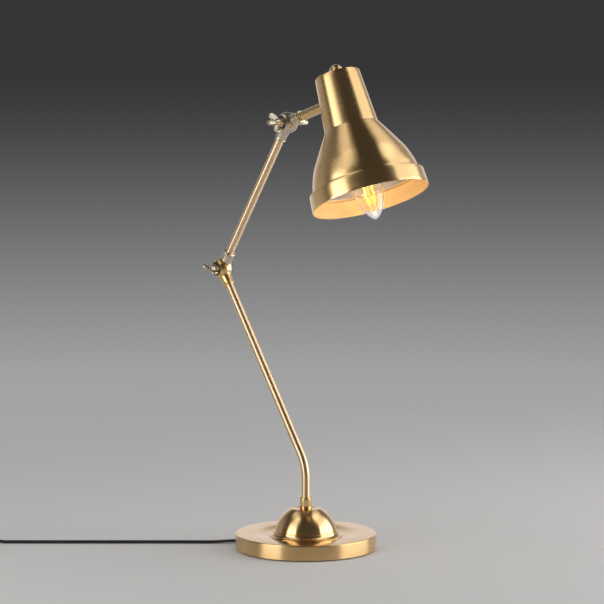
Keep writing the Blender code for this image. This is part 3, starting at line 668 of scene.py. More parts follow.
@dataclass(frozen=True)
class Line:
    """Where the arms, joints, stem and shade lie, as frames on the lamp's own axes."""

    tube_radius: float = 5.0
    tube_wall: float = 0.9
    lean: float = 33.5
    bend_height: float = 97.0
    bend_radius: float = 55.0
    lower_length: float = 268.4
    upper_length: float = 211.5
    stem_elevation: float = 17.0
    shade_tilt: float = 21.5
    shade_across: float = 83.4
    shade_up: float = 54.5

    @property
    def elbow(self) -> Matrix:
        """The elbow's axis."""
        lean = math.radians(self.lean)
        return at(-self.lower_length * math.sin(lean), 0, self.bend_height + self.lower_length * math.cos(lean))

    @property
    def upper(self) -> Matrix:
        """The upper arm, its own Z up the tube from the elbow."""
        return self.elbow @ turned_by("Y", self.lean)

    @property
    def head(self) -> Matrix:
        """The head's axis."""
        return Matrix.Translation((self.upper @ at(0, 0, self.upper_length)).translation)

    @property
    def stem(self) -> Matrix:
        """The head's stem, its own Z towards the shade."""
        return self.head @ turned_by("Y", 90 - self.stem_elevation)

    @property
    def shade(self) -> Matrix:
        """The shade, its own Z up from the mouth, with the middle of its top at the origin."""
        return self.head @ at(self.shade_across, 0, self.shade_up) @ turned_by("Y", -self.shade_tilt)


LINE = Line()
FRONT = turned_by("X", 90)
REAR = turned_by("X", -90)


# ---------------------------------------------------------------- studio


@dataclass
class Studio:
    """The floor, the light and the viewer."""

    lens: float = 133.75
    distance: float = 2.600
    height: float = 0.5206
    pitch: float = 5.08
    yaw: float = 0.1
    canopy_height: float = 2.25
    overhead_height: float = 2.2
    overhead_width: float = 2.4
    overhead_power: float = 14.0

    def camera(self) -> None:
        """The viewer's place, a little above the shade and looking slightly down."""
        made = bpy.data.cameras.new("viewer")
        made.lens = self.lens
        made.sensor_width = 36.0
        eye = linked("viewer", made)
        azimuth = math.radians(STAND_AZIMUTH)
        eye.location = (self.distance * math.sin(azimuth), -self.distance * math.cos(azimuth), self.height)
        eye.rotation_euler = (math.radians(90 - self.pitch), 0, azimuth + math.radians(self.yaw))
        bpy.context.scene.camera = eye

    def soft_light(self, name: str, width: float, length: float, glow: float, place: Matrix) -> None:
        """A rectangular light that the viewer doesn't see.

        Args:
            name: the light's name.
            width: its width.
            length: its length.
            glow: how bright its face is.
            place: where it is and which way it faces.
        """
        light = bpy.data.lights.new(name, "AREA")
        light.shape = "RECTANGLE"
        light.size, light.size_y = width, length
        light.energy = glow * math.pi * width * length
        light.color = SOFT_WHITE
        holder = linked(name, light)
        holder.matrix_world = place
        holder.visible_camera = False

    def card(self, name: str, side: float, away: float, width: float, low: float, high: float,
             glow: float) -> None:
        """A tall soft light.

        Args:
            name: the light's name.
            side: how far it stands to the viewer's right of the lamp, in degrees round it.
            away: its distance from the lamp.
            width: its width.
            low: its lower edge's height.
            high: its upper edge's height.
            glow: how bright its face is.
        """
        place = turned_by("Z", STAND_AZIMUTH + side) @ Matrix.Translation((0, -away, (low + high) / 2))
        self.soft_light(name, width, high - low, glow, place @ turned_by("X", 90))

    def canopy(self, name: str, aside: float, width: float, behind: float, length: float, glow: float) -> None:
        """A level soft light overhead, long from the viewer's side to the far side.

        Args:
            name: the light's name.
            aside: its middle's distance to the viewer's right of the lamp.
            width: its width, from left to right.
            behind: its middle's distance beyond the lamp.
            length: its length.
            glow: how bright its face is.
        """
        place = turned_by("Z", STAND_AZIMUTH) @ Matrix.Translation((aside, behind, self.canopy_height))
        self.soft_light(name, width, length, glow, place)

    def overhead(self) -> None:
        """A wide light above that lifts the floor and stays out of the reflections."""
        light = bpy.data.lights.new("overhead", "AREA")
        light.shape = "SQUARE"
        light.size = self.overhead_width
        light.energy = self.overhead_power
        holder = linked("overhead", light)
        holder.location = (0, 0, self.overhead_height)
        holder.visible_glossy = holder.visible_camera = False

    def floor(self) -> None:
        """A plain pale floor that melts into the room with distance."""
        deselect()
        bpy.ops.mesh.primitive_circle_add(vertices=96, radius=2.5, fill_type="NGON", location=(0, 0, -0.0004))
        ground = named("studio_floor")
        bench = Bench("studio_paper")
        place = bench.own_place(Matrix.Identity(4))
        away = bench.vector("LENGTH", place).outputs["Value"]
        tooth = bench.noise(place, 260.0, 3.0)
        fall = bench.eased(away, 0.3, 1.9, 1.0, 0.0)
        bench.dress(Base_Color=colour(0.62, 0.62, 0.62), Alpha=fall, Roughness=0.75,
                    Specular_IOR_Level=0.15, Normal=bench.bump(tooth, 0.05, 0.1))
        ground.data.materials.append(bench.material)

    def surround(self) -> None:
        """A dim room in front of the lamp and a pale sweep behind it, with a plain dark backdrop to look at."""
        azimuth = math.radians(STAND_AZIMUTH)
        room = Room("studio_room")
        way = room.add("TexCoord").outputs["Generated"]
        behind = room.vector("DOT_PRODUCT", way, (-math.sin(azimuth), math.cos(azimuth), 0)).outputs["Value"]
        height = room.add("SeparateXYZ", Vector=way).outputs[2]
        sides = room.maths("MULTIPLY", room.eased(behind, -0.05, 0.4), 0.36)
        sweep = room.add("Math", {"operation": "MULTIPLY_ADD"}, s0=room.eased(behind, 0.72, 0.97), s1=0.64,
                         s2=sides).outputs[0]
        share = room.maths("MULTIPLY", sweep, room.eased(height, 0.75, 0.2))
        depths = room.blend(room.eased(height, 0.0, -0.12), colour(0.055, 0.05, 0.046), colour(0.30, 0.295, 0.29))
        walls = room.blend(share, depths, colour(0.80, 0.79, 0.84))
        seen = room.blend(room.eased(height, -0.22, 0.02), colour(0.56, 0.56, 0.565), colour(0.036, 0.036, 0.037))
        both = room.blend(room.add("LightPath").outputs["Is Camera Ray"], walls, seen)
        room.add("OutputWorld", Surface=room.add("Background", Color=both).outputs[0])

    def build(self) -> None:
        """Sets the whole studio up."""
        self.card("left_box", -58.0, 1.35, 0.84, 0.9, 4.0, 0.95)
        self.card("right_box", 91.0, 1.35, 1.58, 0.9, 4.0, 0.95)
        self.card("left_low_box", -57.0, 1.35, 0.84, 0.01, 0.9, 3.1)
        self.card("right_low_box", 88.0, 1.35, 1.58, 0.01, 0.9, 3.1)
        self.canopy("left_canopy", -1.15, 0.8, 0.3, 2.0, 0.7)
        self.canopy("right_canopy", 1.15, 0.85, 0.8, 2.4, 0.7)
        self.overhead()
        self.floor()
        self.surround()
        bpy.context.scene.view_settings.view_transform = "Standard"


# ---------------------------------------------------------------- flex, switch and plug


@dataclass
class Flex:
    """The flat flex, its inline switch and its plug, lying on the table."""

    width: float = 5.2
    thickness: float = 3.3
    line_azimuth: float = 227.0
    line_shift: float = 26.0
    exit_azimuth: float = 210.0
    exit_radius: float = 83.6
    lying: float = 1.75
    coil_u: float = 482.0
    coil_radius: float = 28.5
    half_pitch: float = 2.65
    layer: float = 3.35
    turns: float = 7.5
    switch_u: float = 407.0
    switch_length: float = 58.0
    switch_width: float = 21.0
    switch_split: float = 6.0
    switch_top: float = 13.6
    plug_u: float = 408.0
    plug_height: float = 13.6
    step: float = 6.0
    raised: float = 6.0

    def on_floor(self, u: float, v: float, z: float) -> Vector:
        """A point on the flex's line.

        Args:
            u: how far along the line it is, away from the lamp.
            v: how far to the line's far side it is.
            z: its height.

        Returns:
            The point, in millimetres.
        """
        angle = math.radians(self.line_azimuth)
        along = Vector((math.cos(angle), math.sin(angle), 0))
        return along * u + Vector((along.y, -along.x, 0)) * v + Vector((0, 0, z))

    @property
    def coil_v(self) -> float:
        """The coil's middle, set so that the flex runs straight into its outer turns."""
        return self.line_shift - self.coil_radius - self.half_pitch

    def coil(self) -> list[Vector]:
        """The coil's turns: two columns and four layers, each change eased over part of a turn."""
        cells = [(1, 0), (-1, 0), (-1, 1), (1, 1), (1, 2), (-1, 2), (-1, 3), (1, 3)]
        first_change, between, eased = 276.0, 345.0, 79.0
        count = 40
        points = []
        for i in range(1, int(self.turns * count)):
            angle = 360.0 * i / count
            column, level = cells[0]
            for k, (c, z) in enumerate(cells[1:]):
                t = min(1.0, max(0.0, (angle - first_change - between * k) / eased))
                t = t * t * (3 - 2 * t)
                column, level = column + (c - column) * t, level + (z - level) * t
            a = math.radians(90 - angle)
            radius = self.coil_radius + self.half_pitch * column
            points.append(self.on_floor(self.coil_u + radius * math.cos(a), self.coil_v + radius * math.sin(a),
                                        1.7 + self.layer * level))
        return points

    def route(self) -> list[Vector]:
        """The whole centreline, from the base to the plug."""
        out, low, high = math.radians(self.exit_azimuth), self.lying, self.raised
        leave = [Vector((r * math.cos(out), r * math.sin(out), z)) for r, z in
                 ((self.exit_radius, 3.3), (86.0, 3.25))]
        run = ((94, 2.6), *((u, low) for u in (110, 150, 200, 250, 300, 350, 358)), (367, 3.2), (375, 5.6),
               *((u, high) for u in (382, 392, 407, 422, 433)), (439, 5.8), (448, 3.8), (457, 2.0), (466, 1.72))
        knots = leave + [self.on_floor(u, self.line_shift, z) for u, z in run]
        line = self.eased(knots)
        line.append(self.on_floor(self.coil_u, self.line_shift, 1.7))
        side = self.coil_v - self.coil_radius - self.half_pitch
        last = [self.on_floor(self.coil_u, side, 1.7 + 3 * self.layer)]
        last += [self.on_floor(u, side, z) for u, z in ((470, 11.6), (462, 11.1), (452, 9.5), (443, 7.7),
                                                         (435, 6.95), (426, 6.9), (418, 6.9))]
        return line + self.coil() + self.eased(last)

    def eased(self, knots: list[Vector]) -> list[Vector]:
        """Points about six millimetres apart on a smooth curve through the knots."""
        line = [knots[0]]
        for a, b, c, d in spans(knots):
            count = max(1, round((c - b).length / self.step))
            line += [along_span(a, b, c, d, i / count) for i in range(1, count + 1)]
        return line

    def build_flex(self) -> None:
        """The flex as one flat tube of its whole length.
        """
        deselect()
        outline = bpy.data.curves.new("flex_section", "CURVE")
        outline.dimensions = "2D"
        section = outline.splines.new("POLY")
        half, radius = self.width / 2 - self.thickness / 2, self.thickness / 2
        ring = arc((half, 0), radius, -90, 90, 7) + arc((-half, 0), radius, 90, 270, 7)
        ring.insert(7, (0, radius - 0.28))
        ring.append((0, -radius + 0.28))
        section.points.add(len(ring) - 1)
        for point, (x, y) in zip(section.points, ring):
            point.co = (x * MM, y * MM, 0, 1)
        section.use_cyclic_u = True
        section_object = linked("flex_section", outline)

        points = [p * MM for p in self.route()]
        line = bpy.data.curves.new("flex", "CURVE")
        line.dimensions = "3D"
        line.twist_mode = "Z_UP"
        line.bevel_mode = "OBJECT"
        line.bevel_object = section_object
        line.use_fill_caps = True
        spline = line.splines.new("POLY")
        spline.points.add(len(points) - 1)
        for point, place in zip(spline.points, points):
            point.co = (*place, 1)
        pick(linked("flex", line))
        bpy.ops.object.convert(target="MESH")
        flex = named("flex")
        bpy.data.objects.remove(section_object, do_unlink=True)
        bpy.ops.object.mode_set(mode="EDIT")
        tidy_mesh()
        finished(flex)
        dress(flex, "base", Slot.FLEX, FLEX_SLEEVE.over(),
              stands_for=("cord_run", "cord_tail", "cord_coil", "cord_plug_tail"))

    def build_switch(self) -> list[bpy.types.Object]:
        """The inline switch: two shells that meet at a seam, and a rocker."""
        frame = Matrix.Translation(self.on_floor(self.switch_u, self.line_shift, 0) * MM) @ turned_by(
            "Z", self.line_azimuth)
        length, width, split = self.switch_length, self.switch_width, self.switch_split
        lower = plate("switch_lower", capsule(length, width, 7), 0.1, split - 0.05, frame, 0.9, 4)
        upper = plate("switch_upper", capsule(length, width, 7), split + 0.05, self.switch_top, frame, 1.8, 5)
        for shell in (lower, upper):
            combine(shell, plate("switch_hollow", capsule(length - 4, width - 4, 5), 1.7, self.switch_top - 1.8,
                                 frame))
            passage = plate("flex_passage", capsule(self.width + 0.5, self.thickness + 0.5, 1.8), -40, 40,
                            frame @ at(0, 0, split) @ turned_by("Y", 90) @ turned_by("Z", 90))
            combine(shell, passage)
        combine(upper, plate("rocker_window", capsule(18, 10, 1.2), 9, 16, frame))
        for shell in (lower, upper):
            finished(shell)
        pivot = frame @ at(0, 0, 10.4) @ turned_by("Y", -8)
        side = [(-8, -0.2), (-6.5, -3.0), (6.5, -3.0), (8, -0.2), (8, 2.4),
                *arc((0, 29.5), 26.6, -72.5, -107.5, 9), (-8, 2.4)]
        rocker = plate("switch_rocker_cap", side, -4.5, 4.5, pivot @ FRONT, 0.45, 3)
        plastic = BLACK_PLASTIC.over(frame)
        dress(lower, "base", Slot.PLASTIC, plastic, stands_for=("switch_lower_shell",))
        dress(upper, "base", Slot.PLASTIC, plastic, stands_for=("switch_upper_shell",))
        dress(rocker, "rocker", Slot.PLASTIC, plastic, stands_for=("switch_rocker",))
        return [lower, upper, rocker]

    def build_plug(self) -> list[bpy.types.Object]:
        """The flat two-pin plug with its tapered relief."""
        side = self.coil_v - self.coil_radius - self.half_pitch
        frame = Matrix.Translation(self.on_floor(self.plug_u, side, 0.1) * MM) @ turned_by(
            "Z", self.line_azimuth + 180)
        outline = [(17, -17.2), (18, -15.6), (18, 15.6), (17, 17.2), (15, 17.6), (2, 17.6),
                   *arc((-2, 8), 9.0, 78, 118, 4), (-14, 7.0), (-14, -7.0), *arc((-2, -8), 9.0, -118, -78, 4),
                   (2, -17.6), (15, -17.6)]
        body = plate("plug", outline, 0, self.plug_height, frame, 1.4, 4)
        middle = self.plug_height / 2
        along = frame @ at(-14, 0, middle) @ turned_by("Y", 90)
        rings: Profile = [(0, 10), (5.4, 10), (5.4, 1.0)]
        for i in range(4):
            low = -0.6 - 1.9 * i
            radius = 5.1 - 0.55 * i
            rings += [(radius, low + 1.2), (radius - 0.05, low), (radius - 0.75, low - 0.25),
                      (radius - 0.75, low - 0.6)]
        rings += [(3.0, -8), (0, -8)]
        combine(body, lathe("plug_relief", rings, along, 48), "UNION")
        finished(body)
        dress(body, "base", Slot.PLASTIC, BLACK_PLASTIC.over(frame), stands_for=("plug_body",))
        pins = []
        for index, aside in enumerate((-9.2, 9.2), 1):
            pin_frame = frame @ at(18, aside, middle) @ turned_by("Y", 90)
            shape = [(0, 19.0), *arc((0.9, 17.9), 1.1, 90, 0, 5), (2.0, 9.0), (2.0, 0.1), (0, 0.1)]
            pin = lathe(f"pin_{index}", shape, pin_frame, 32)
            dress(pin, "base", Slot.STEEL, PLATED_STEEL.over(pin_frame), stands_for=(f"plug_pin_{index}",))
            pins.append(pin)
        return [body, *pins]

    def build(self) -> None:
        """The switch, the plug and the flex that joins them to the lamp."""
        on_it = self.build_switch() + self.build_plug()
        self.build_flex()


# ---------------------------------------------------------------- base


@dataclass
class Base:
    """The weighted base: rim, dished top, dome and collar."""

    radius: float = 82.5
    top: float = 18.0
    foot: float = 0.6
    fillet: float = 1.4
    wall: float = 1.2
    dish: float = 15.5
    dish_inner: float = 43.0
    dish_outer: float = 62.0
    hole: float = 5.3
    dome_radius: float = 37.2
    dome_centre: float = 13.9
    dome_top: float = 46.9
    dome_foot: float = 21.2

    def build_shell(self) -> None:
        """The spun shell, with its cord notch and grommet."""
        corner = (self.radius - self.fillet, self.top - self.fillet)
        outer: Profile = [(self.hole, self.dish), (self.dome_radius, self.dish)]
        for i in range(13):
            t = i / 12
            outer.append((self.dish_inner + (self.dish_outer - self.dish_inner) * t,
                          self.dish + (self.top - self.dish) * t * t * (3 - 2 * t)))
        outer += arc(corner, self.fillet, 90, 0, 9)
        outer += [(self.radius, self.foot + 0.4), (self.radius - 0.4, self.foot)]
        shell = lathe("base_cover", outer + inside_of(outer, self.wall)[::-1], steps=192)
        entry = turned_by("Z", Flex.exit_azimuth)
        outwards = turned_by("Y", 90) @ turned_by("Z", 90)
        combine(shell, plate("notch", capsule(7.2, 11.6, 1.2), -4, 4, entry @ at(self.radius, 0, 0) @ outwards))
        finished(shell)
        dress(shell, "base", Slot.BASE, RIM_BRASS.over(), DISH_BRASS.over(), stands_for=("base_shell",))
        for face in shell.data.polygons:
            if face.normal.z > 0.75:
                face.material_index = 1

        mouth = entry @ at(self.radius - 0.7, 0, 3.3) @ outwards
        grommet = plate("grommet", capsule(7.0, 5.0, 1.3), -2.6, 2.6, mouth, 0.4, 3)
        combine(grommet, plate("grommet_bore", capsule(5.5, 3.6, 1.7), -5, 5, mouth))
        finished(grommet)
        dress(grommet, "base", Slot.PLASTIC, BLACK_PLASTIC.over(), stands_for=("cord_grommet",))

    def build_dome(self) -> None:
        """The dome with its flared foot, and the collar that the stem rises from."""
        flat, rest = 16.6, self.dish + 0.15
        start = math.degrees(math.asin((self.dome_top - self.dome_centre - 0.3) / self.dome_radius))
        end = math.degrees(math.asin((self.dome_foot - self.dome_centre) / self.dome_radius))
        top, sunk = self.dome_top, self.dome_top - 1.5
        outer: Profile = [(self.hole, sunk), (8.4, sunk), (flat - 0.5, top), (flat, top)]
        outer += arc((0, self.dome_centre), self.dome_radius, start, end, 40)
        cove = [(36.3, self.dome_foot - 0.25), *arc((43.0, self.dome_foot + 0.3), 5.5, 190, 262, 14),
                (43.6, rest + 0.25), (43.6, rest), (34.6, rest)]
        dome = lathe("dome", outer + cove + inside_of(outer, self.wall)[::-1], steps=160)
        dress(dome, "base", Slot.BASE, DOME_BRASS.over(), stands_for=("base_dome",))
        low = self.dome_top - 1.4
        collar = [(self.hole, 60.0), (6.6, 60.0), (7.1, 59.4), (7.1, 49.6), (6.85, 49.3), (6.85, 48.9),
                  (7.1, 48.6), (7.1, low), (self.hole, low)]
        piece = lathe("collar", collar, steps=64, edge=0.18)
        dress(piece, "base", Slot.BASE, TURNED_BRASS.over(), stands_for=("stem_collar",))

    def build(self) -> None:
        """The base's seen pieces."""
        self.build_shell()
        self.build_dome()


# ---------------------------------------------------------------- joints and arms


@dataclass
class Knuckle:
    """Half of a ball joint on one side of its plane, with a neck for its tube."""

    name: str
    side: int  # -1 is the front half, which the lower arm carries, and +1 the rear half
    frame: Matrix
    finish: Metal
    slot: Slot
    body: str
    node: str
    radius: float = 12.5
    face: float = 9.5
    half_gap: float = 0.25
    clearance: float = 13.2
    bore: float = 5.1
    bolt: float = 2.8
    fewest_faces: int = 1000
    tries: int = 6

    def neck(self) -> Profile:
        """The neck, from its mouth back into the ball, flared where it meets it."""
        flare: Profile = [(6.75, 14.6), (6.9, 12.6), (7.3, 11.2), (8.2, 9.9), (9.6, 8.4), (9.6, 4.0), (0, 4.0)]
        if self.side < 0:
            bead = arc((6.0, 22.3), 0.75, 80, -80, 7)
            return [(0, 23.5), (5.9, 23.5), (6.05, 23.2), *bead, (6.05, 21.2), (6.45, 17.6), *flare]
        rim = arc((6.8, 23.4), 0.9, 70, -70, 9)
        return [(0, 24.8), (6.4, 24.8), (6.9, 24.5), *rim, (6.7, 22.3), (6.6, 17.0), *flare]

    def shaped(self) -> bpy.types.Object:
        """The casting, cut so that the other half can swing past it."""
        outwards = self.frame @ (FRONT if self.side < 0 else REAR)
        steep = math.degrees(math.asin(self.half_gap / self.radius))
        high = math.degrees(math.asin(self.face / self.radius))
        ball = arc((0, 0), self.radius, steep, high, 28)
        boss = (self.radius * math.cos(math.radians(high)) - 0.3, self.face + 0.25)
        half = lathe(self.name, [(self.bolt, self.half_gap), *ball, boss, (self.bolt, boss[1])], outwards, 96)
        neck = lathe("neck", self.neck(), self.frame, 96)
        combine(neck, rod("swing", self.clearance, -30, self.half_gap, outwards, 96))
        combine(neck, rod("face", 16, self.face - 0.6, 30, outwards, 64))
        combine(half, neck, "UNION")
        combine(half, rod("bore", self.bore, 14.2, 30, self.frame, 64))
        combine(half, rod("bolt_hole", self.bolt, -30, 30, outwards, 40))
        return finished(half)

    def build(self) -> bpy.types.Object:
        """The casting, made again where a cut failed and left only scraps of it."""
        for _ in range(self.tries):
            half = self.shaped()
            if len(half.data.polygons) >= self.fewest_faces:
                break
            log.warning("%s came out with %d faces, so it is made again", self.name, len(half.data.polygons))
            bpy.data.objects.remove(half, do_unlink=True)
        else:
            raise RuntimeError(f"{self.name} can't be cut whole")
        return dress(half, self.body, self.slot, self.finish.over(self.frame), stands_for=(self.node,))


@dataclass
class JointHardware:
    """One joint's bolt, washers and wing nut."""

    prefix: str
    frame: Matrix
    turn: float
    body: str
    nut_body: str
    face: float = 9.5
    hole: float = 2.8

    def build_washers(self) -> None:
        """The dark ring under the nut, its twin behind, and the thin fibre ring between the halves."""
        low = self.face + 0.35
        dark = DARK_BRASS.over(self.frame @ FRONT)
        ring = [(self.hole, low + 1.15), (5.2, low + 1.15), (6.3, low + 1.05), (8.3, low + 0.75), (8.3, low),
                (self.hole, low)]
        for name, way in (("front", FRONT), ("rear", REAR)):
            piece = lathe(f"{self.prefix}_{name}_ring", ring, self.frame @ way, 72, 0.15)
            dress(piece, self.body, Slot.DARK, dark, stands_for=(f"{self.prefix}_{name}_washer",))
        fibre = lathe(f"{self.prefix}_fibre_ring", [(12.1, 0.22), (12.1, -0.22), (8.6, -0.22), (8.6, 0.22)],
                      self.frame @ FRONT, 72)
        dress(fibre, self.body, Slot.PLASTIC, GREY_FIBRE.over(), stands_for=(f"{self.prefix}_friction_washer",))

    def build_bolt(self) -> None:
        """The bolt, its domed head at the back and its chamfered tip at the front."""
        head = -(self.face + 1.6)
        shank: Profile = [(0, 20.8), (1.7, 20.8), (2.3, 20.2)]
        for i in range(3):
            level = 20.0 - 0.8 * i
            shank += [(2.4, level - 0.2), (2.1, level - 0.6)]
        shank += [(2.4, 17.0), (2.4, head), (4.6, head), *arc((0, head + 0.05), 4.6, -12, -84, 10)]
        domed = [(r, head - (head + 0.05 - z) * 0.74) if z < head else (r, z) for r, z in shank]
        bolt = lathe(f"{self.prefix}_joint_bolt", domed + [(0, head - 3.4)], self.frame @ FRONT, 56)
        dress(bolt, self.body, Slot.STEEL, PLATED_STEEL.over(self.frame @ FRONT),
              stands_for=(f"{self.prefix}_bolt",))

    def build_wing_nut(self) -> None:
        """The wing nut: a flared hub and two rounded ears."""
        frame = self.frame @ turned_by("Y", -self.turn) @ FRONT
        low = self.face + 1.6
        hub = [(self.hole, 20.2), (3.7, 20.2), (4.15, 19.8), (4.6, 17.0), (5.4, 13.6), (6.2, low + 1.4),
               (6.2, low), (self.hole, low)]
        nut = lathe(f"{self.prefix}_wing_nut_body", hub, frame, 64, 0.2)
        middle, long, short, tilt = (6.6, 18.4), 7.2, 5.0, math.radians(45)
        for mirror in (1, -1):
            outline = []
            for i in range(36):
                a = math.tau * i / 36
                along, across = long * math.cos(a), short * math.sin(a)
                outline.append((mirror * (middle[0] + along * math.cos(tilt) - across * math.sin(tilt)),
                                middle[1] + along * math.sin(tilt) + across * math.cos(tilt)))
            ear = plate("ear", outline, -1.4, 1.4, frame @ FRONT, 1.0, 4)
            combine(nut, ear, "UNION")
        combine(nut, rod("bore", self.hole - 0.1, 5, 30, frame, 48))
        finished(nut)
        dress(nut, self.nut_body, Slot.PALE, PALE_BRASS.over(frame), stands_for=(f"{self.prefix}_wing_nut",))

    def build(self) -> None:
        """All of the joint's hardware."""
        self.build_washers()
        self.build_bolt()
        self.build_wing_nut()


@dataclass
class Arms:
    """The bent lower tube, the straight upper tube and their joints."""

    start: float = 50.3
    inset: float = 14.5

    def build_lower(self) -> None:
        """The lower tube: a ring of points extruded up, spun round the bend and extruded to the elbow."""
        lean = math.radians(LINE.lean)
        tangent = LINE.bend_radius * math.tan(lean / 2)
        low = LINE.bend_height - tangent
        deselect()
        bpy.ops.mesh.primitive_circle_add(vertices=56, radius=LINE.tube_radius * MM, location=mm(0, 0, self.start))
        tube = named("lower_tube")
        settle(tube)
        bpy.ops.object.mode_set(mode="EDIT")
        bpy.ops.mesh.select_all(action="SELECT")
        bpy.ops.mesh.extrude_region_move(TRANSFORM_OT_translate={"value": mm(0, 0, low - self.start)})
        bpy.ops.mesh.spin(steps=24, angle=lean, center=mm(-LINE.bend_radius, 0, low), axis=(0, 1, 0))
        reach = LINE.lower_length - tangent - self.inset
        along = mm(-reach * math.sin(lean), 0, reach * math.cos(lean))
        bpy.ops.mesh.extrude_region_move(TRANSFORM_OT_translate={"value": along})
        tidy_mesh()
        bpy.ops.object.mode_set(mode="OBJECT")
        modify(tube, "SOLIDIFY", thickness=LINE.tube_wall * MM, offset=-1.0, use_even_offset=True)
        finished(tube)
        way = tube.data.attributes.new("way_round", "FLOAT_VECTOR", "POINT")
        for index, vertex in enumerate(tube.data.vertices):
            out = vertex.co - mm(-LINE.bend_radius, 0, low)
            turn = min(lean, max(0.0, math.atan2(out.z, out.x)))
            line = Vector((-math.sin(turn), 0, math.cos(turn)))
            centre = mm(-LINE.bend_radius + LINE.bend_radius * math.cos(turn), 0,
                        low + LINE.bend_radius * math.sin(turn))
            way.data[index].vector = line.cross(vertex.co - centre).normalized()
        dress(tube, "base", Slot.TUBE, TUBE_BRASS.over(LINE.elbow @ turned_by("Y", -LINE.lean), "way_round"),
              stands_for=("lower_arm_tube",))

    def build_upper(self) -> None:
        """The upper tube."""
        radius, inner = LINE.tube_radius, LINE.tube_radius - LINE.tube_wall
        low, high = self.inset, LINE.upper_length - self.inset
        heights = [low + (high - low) * i / 12 for i in range(13)]
        profile = [(radius, z) for z in heights[::-1]] + [(inner, low), (inner, high)]
        tube = lathe("upper_tube", profile, LINE.upper, 56)
        dress(tube, "upper_arm", Slot.TUBE, TUBE_BRASS.over(LINE.upper), stands_for=("upper_arm_tube",))

    def build(self) -> None:
        """Both tubes, the four castings and the hardware of both joints."""
        self.build_lower()
        self.build_upper()
        elbow, head = LINE.elbow, LINE.head
        Knuckle("elbow_lower_casting", -1, elbow @ turned_by("Y", 180 - LINE.lean), CAST_BRASS, Slot.CAST, "base",
                "elbow_lower_fitting").build()
        Knuckle("elbow_upper_casting", 1, LINE.upper, PALE_BRASS, Slot.PALE, "upper_arm",
                "elbow_upper_fitting").build()
        Knuckle("head_lower_casting", -1, head @ turned_by("Y", 180 + LINE.lean), PALE_BRASS, Slot.PALE,
                "upper_arm", "head_lower_fitting").build()
        Knuckle("head_upper_casting", 1, LINE.stem, PALE_BRASS, Slot.PALE, "head", "head_upper_fitting").build()
        JointHardware("elbow", elbow, -22.0, "base", "elbow_nut").build()
        JointHardware("head", head, -60.0, "upper_arm", "head_nut").build()


# ---------------------------------------------------------------- head


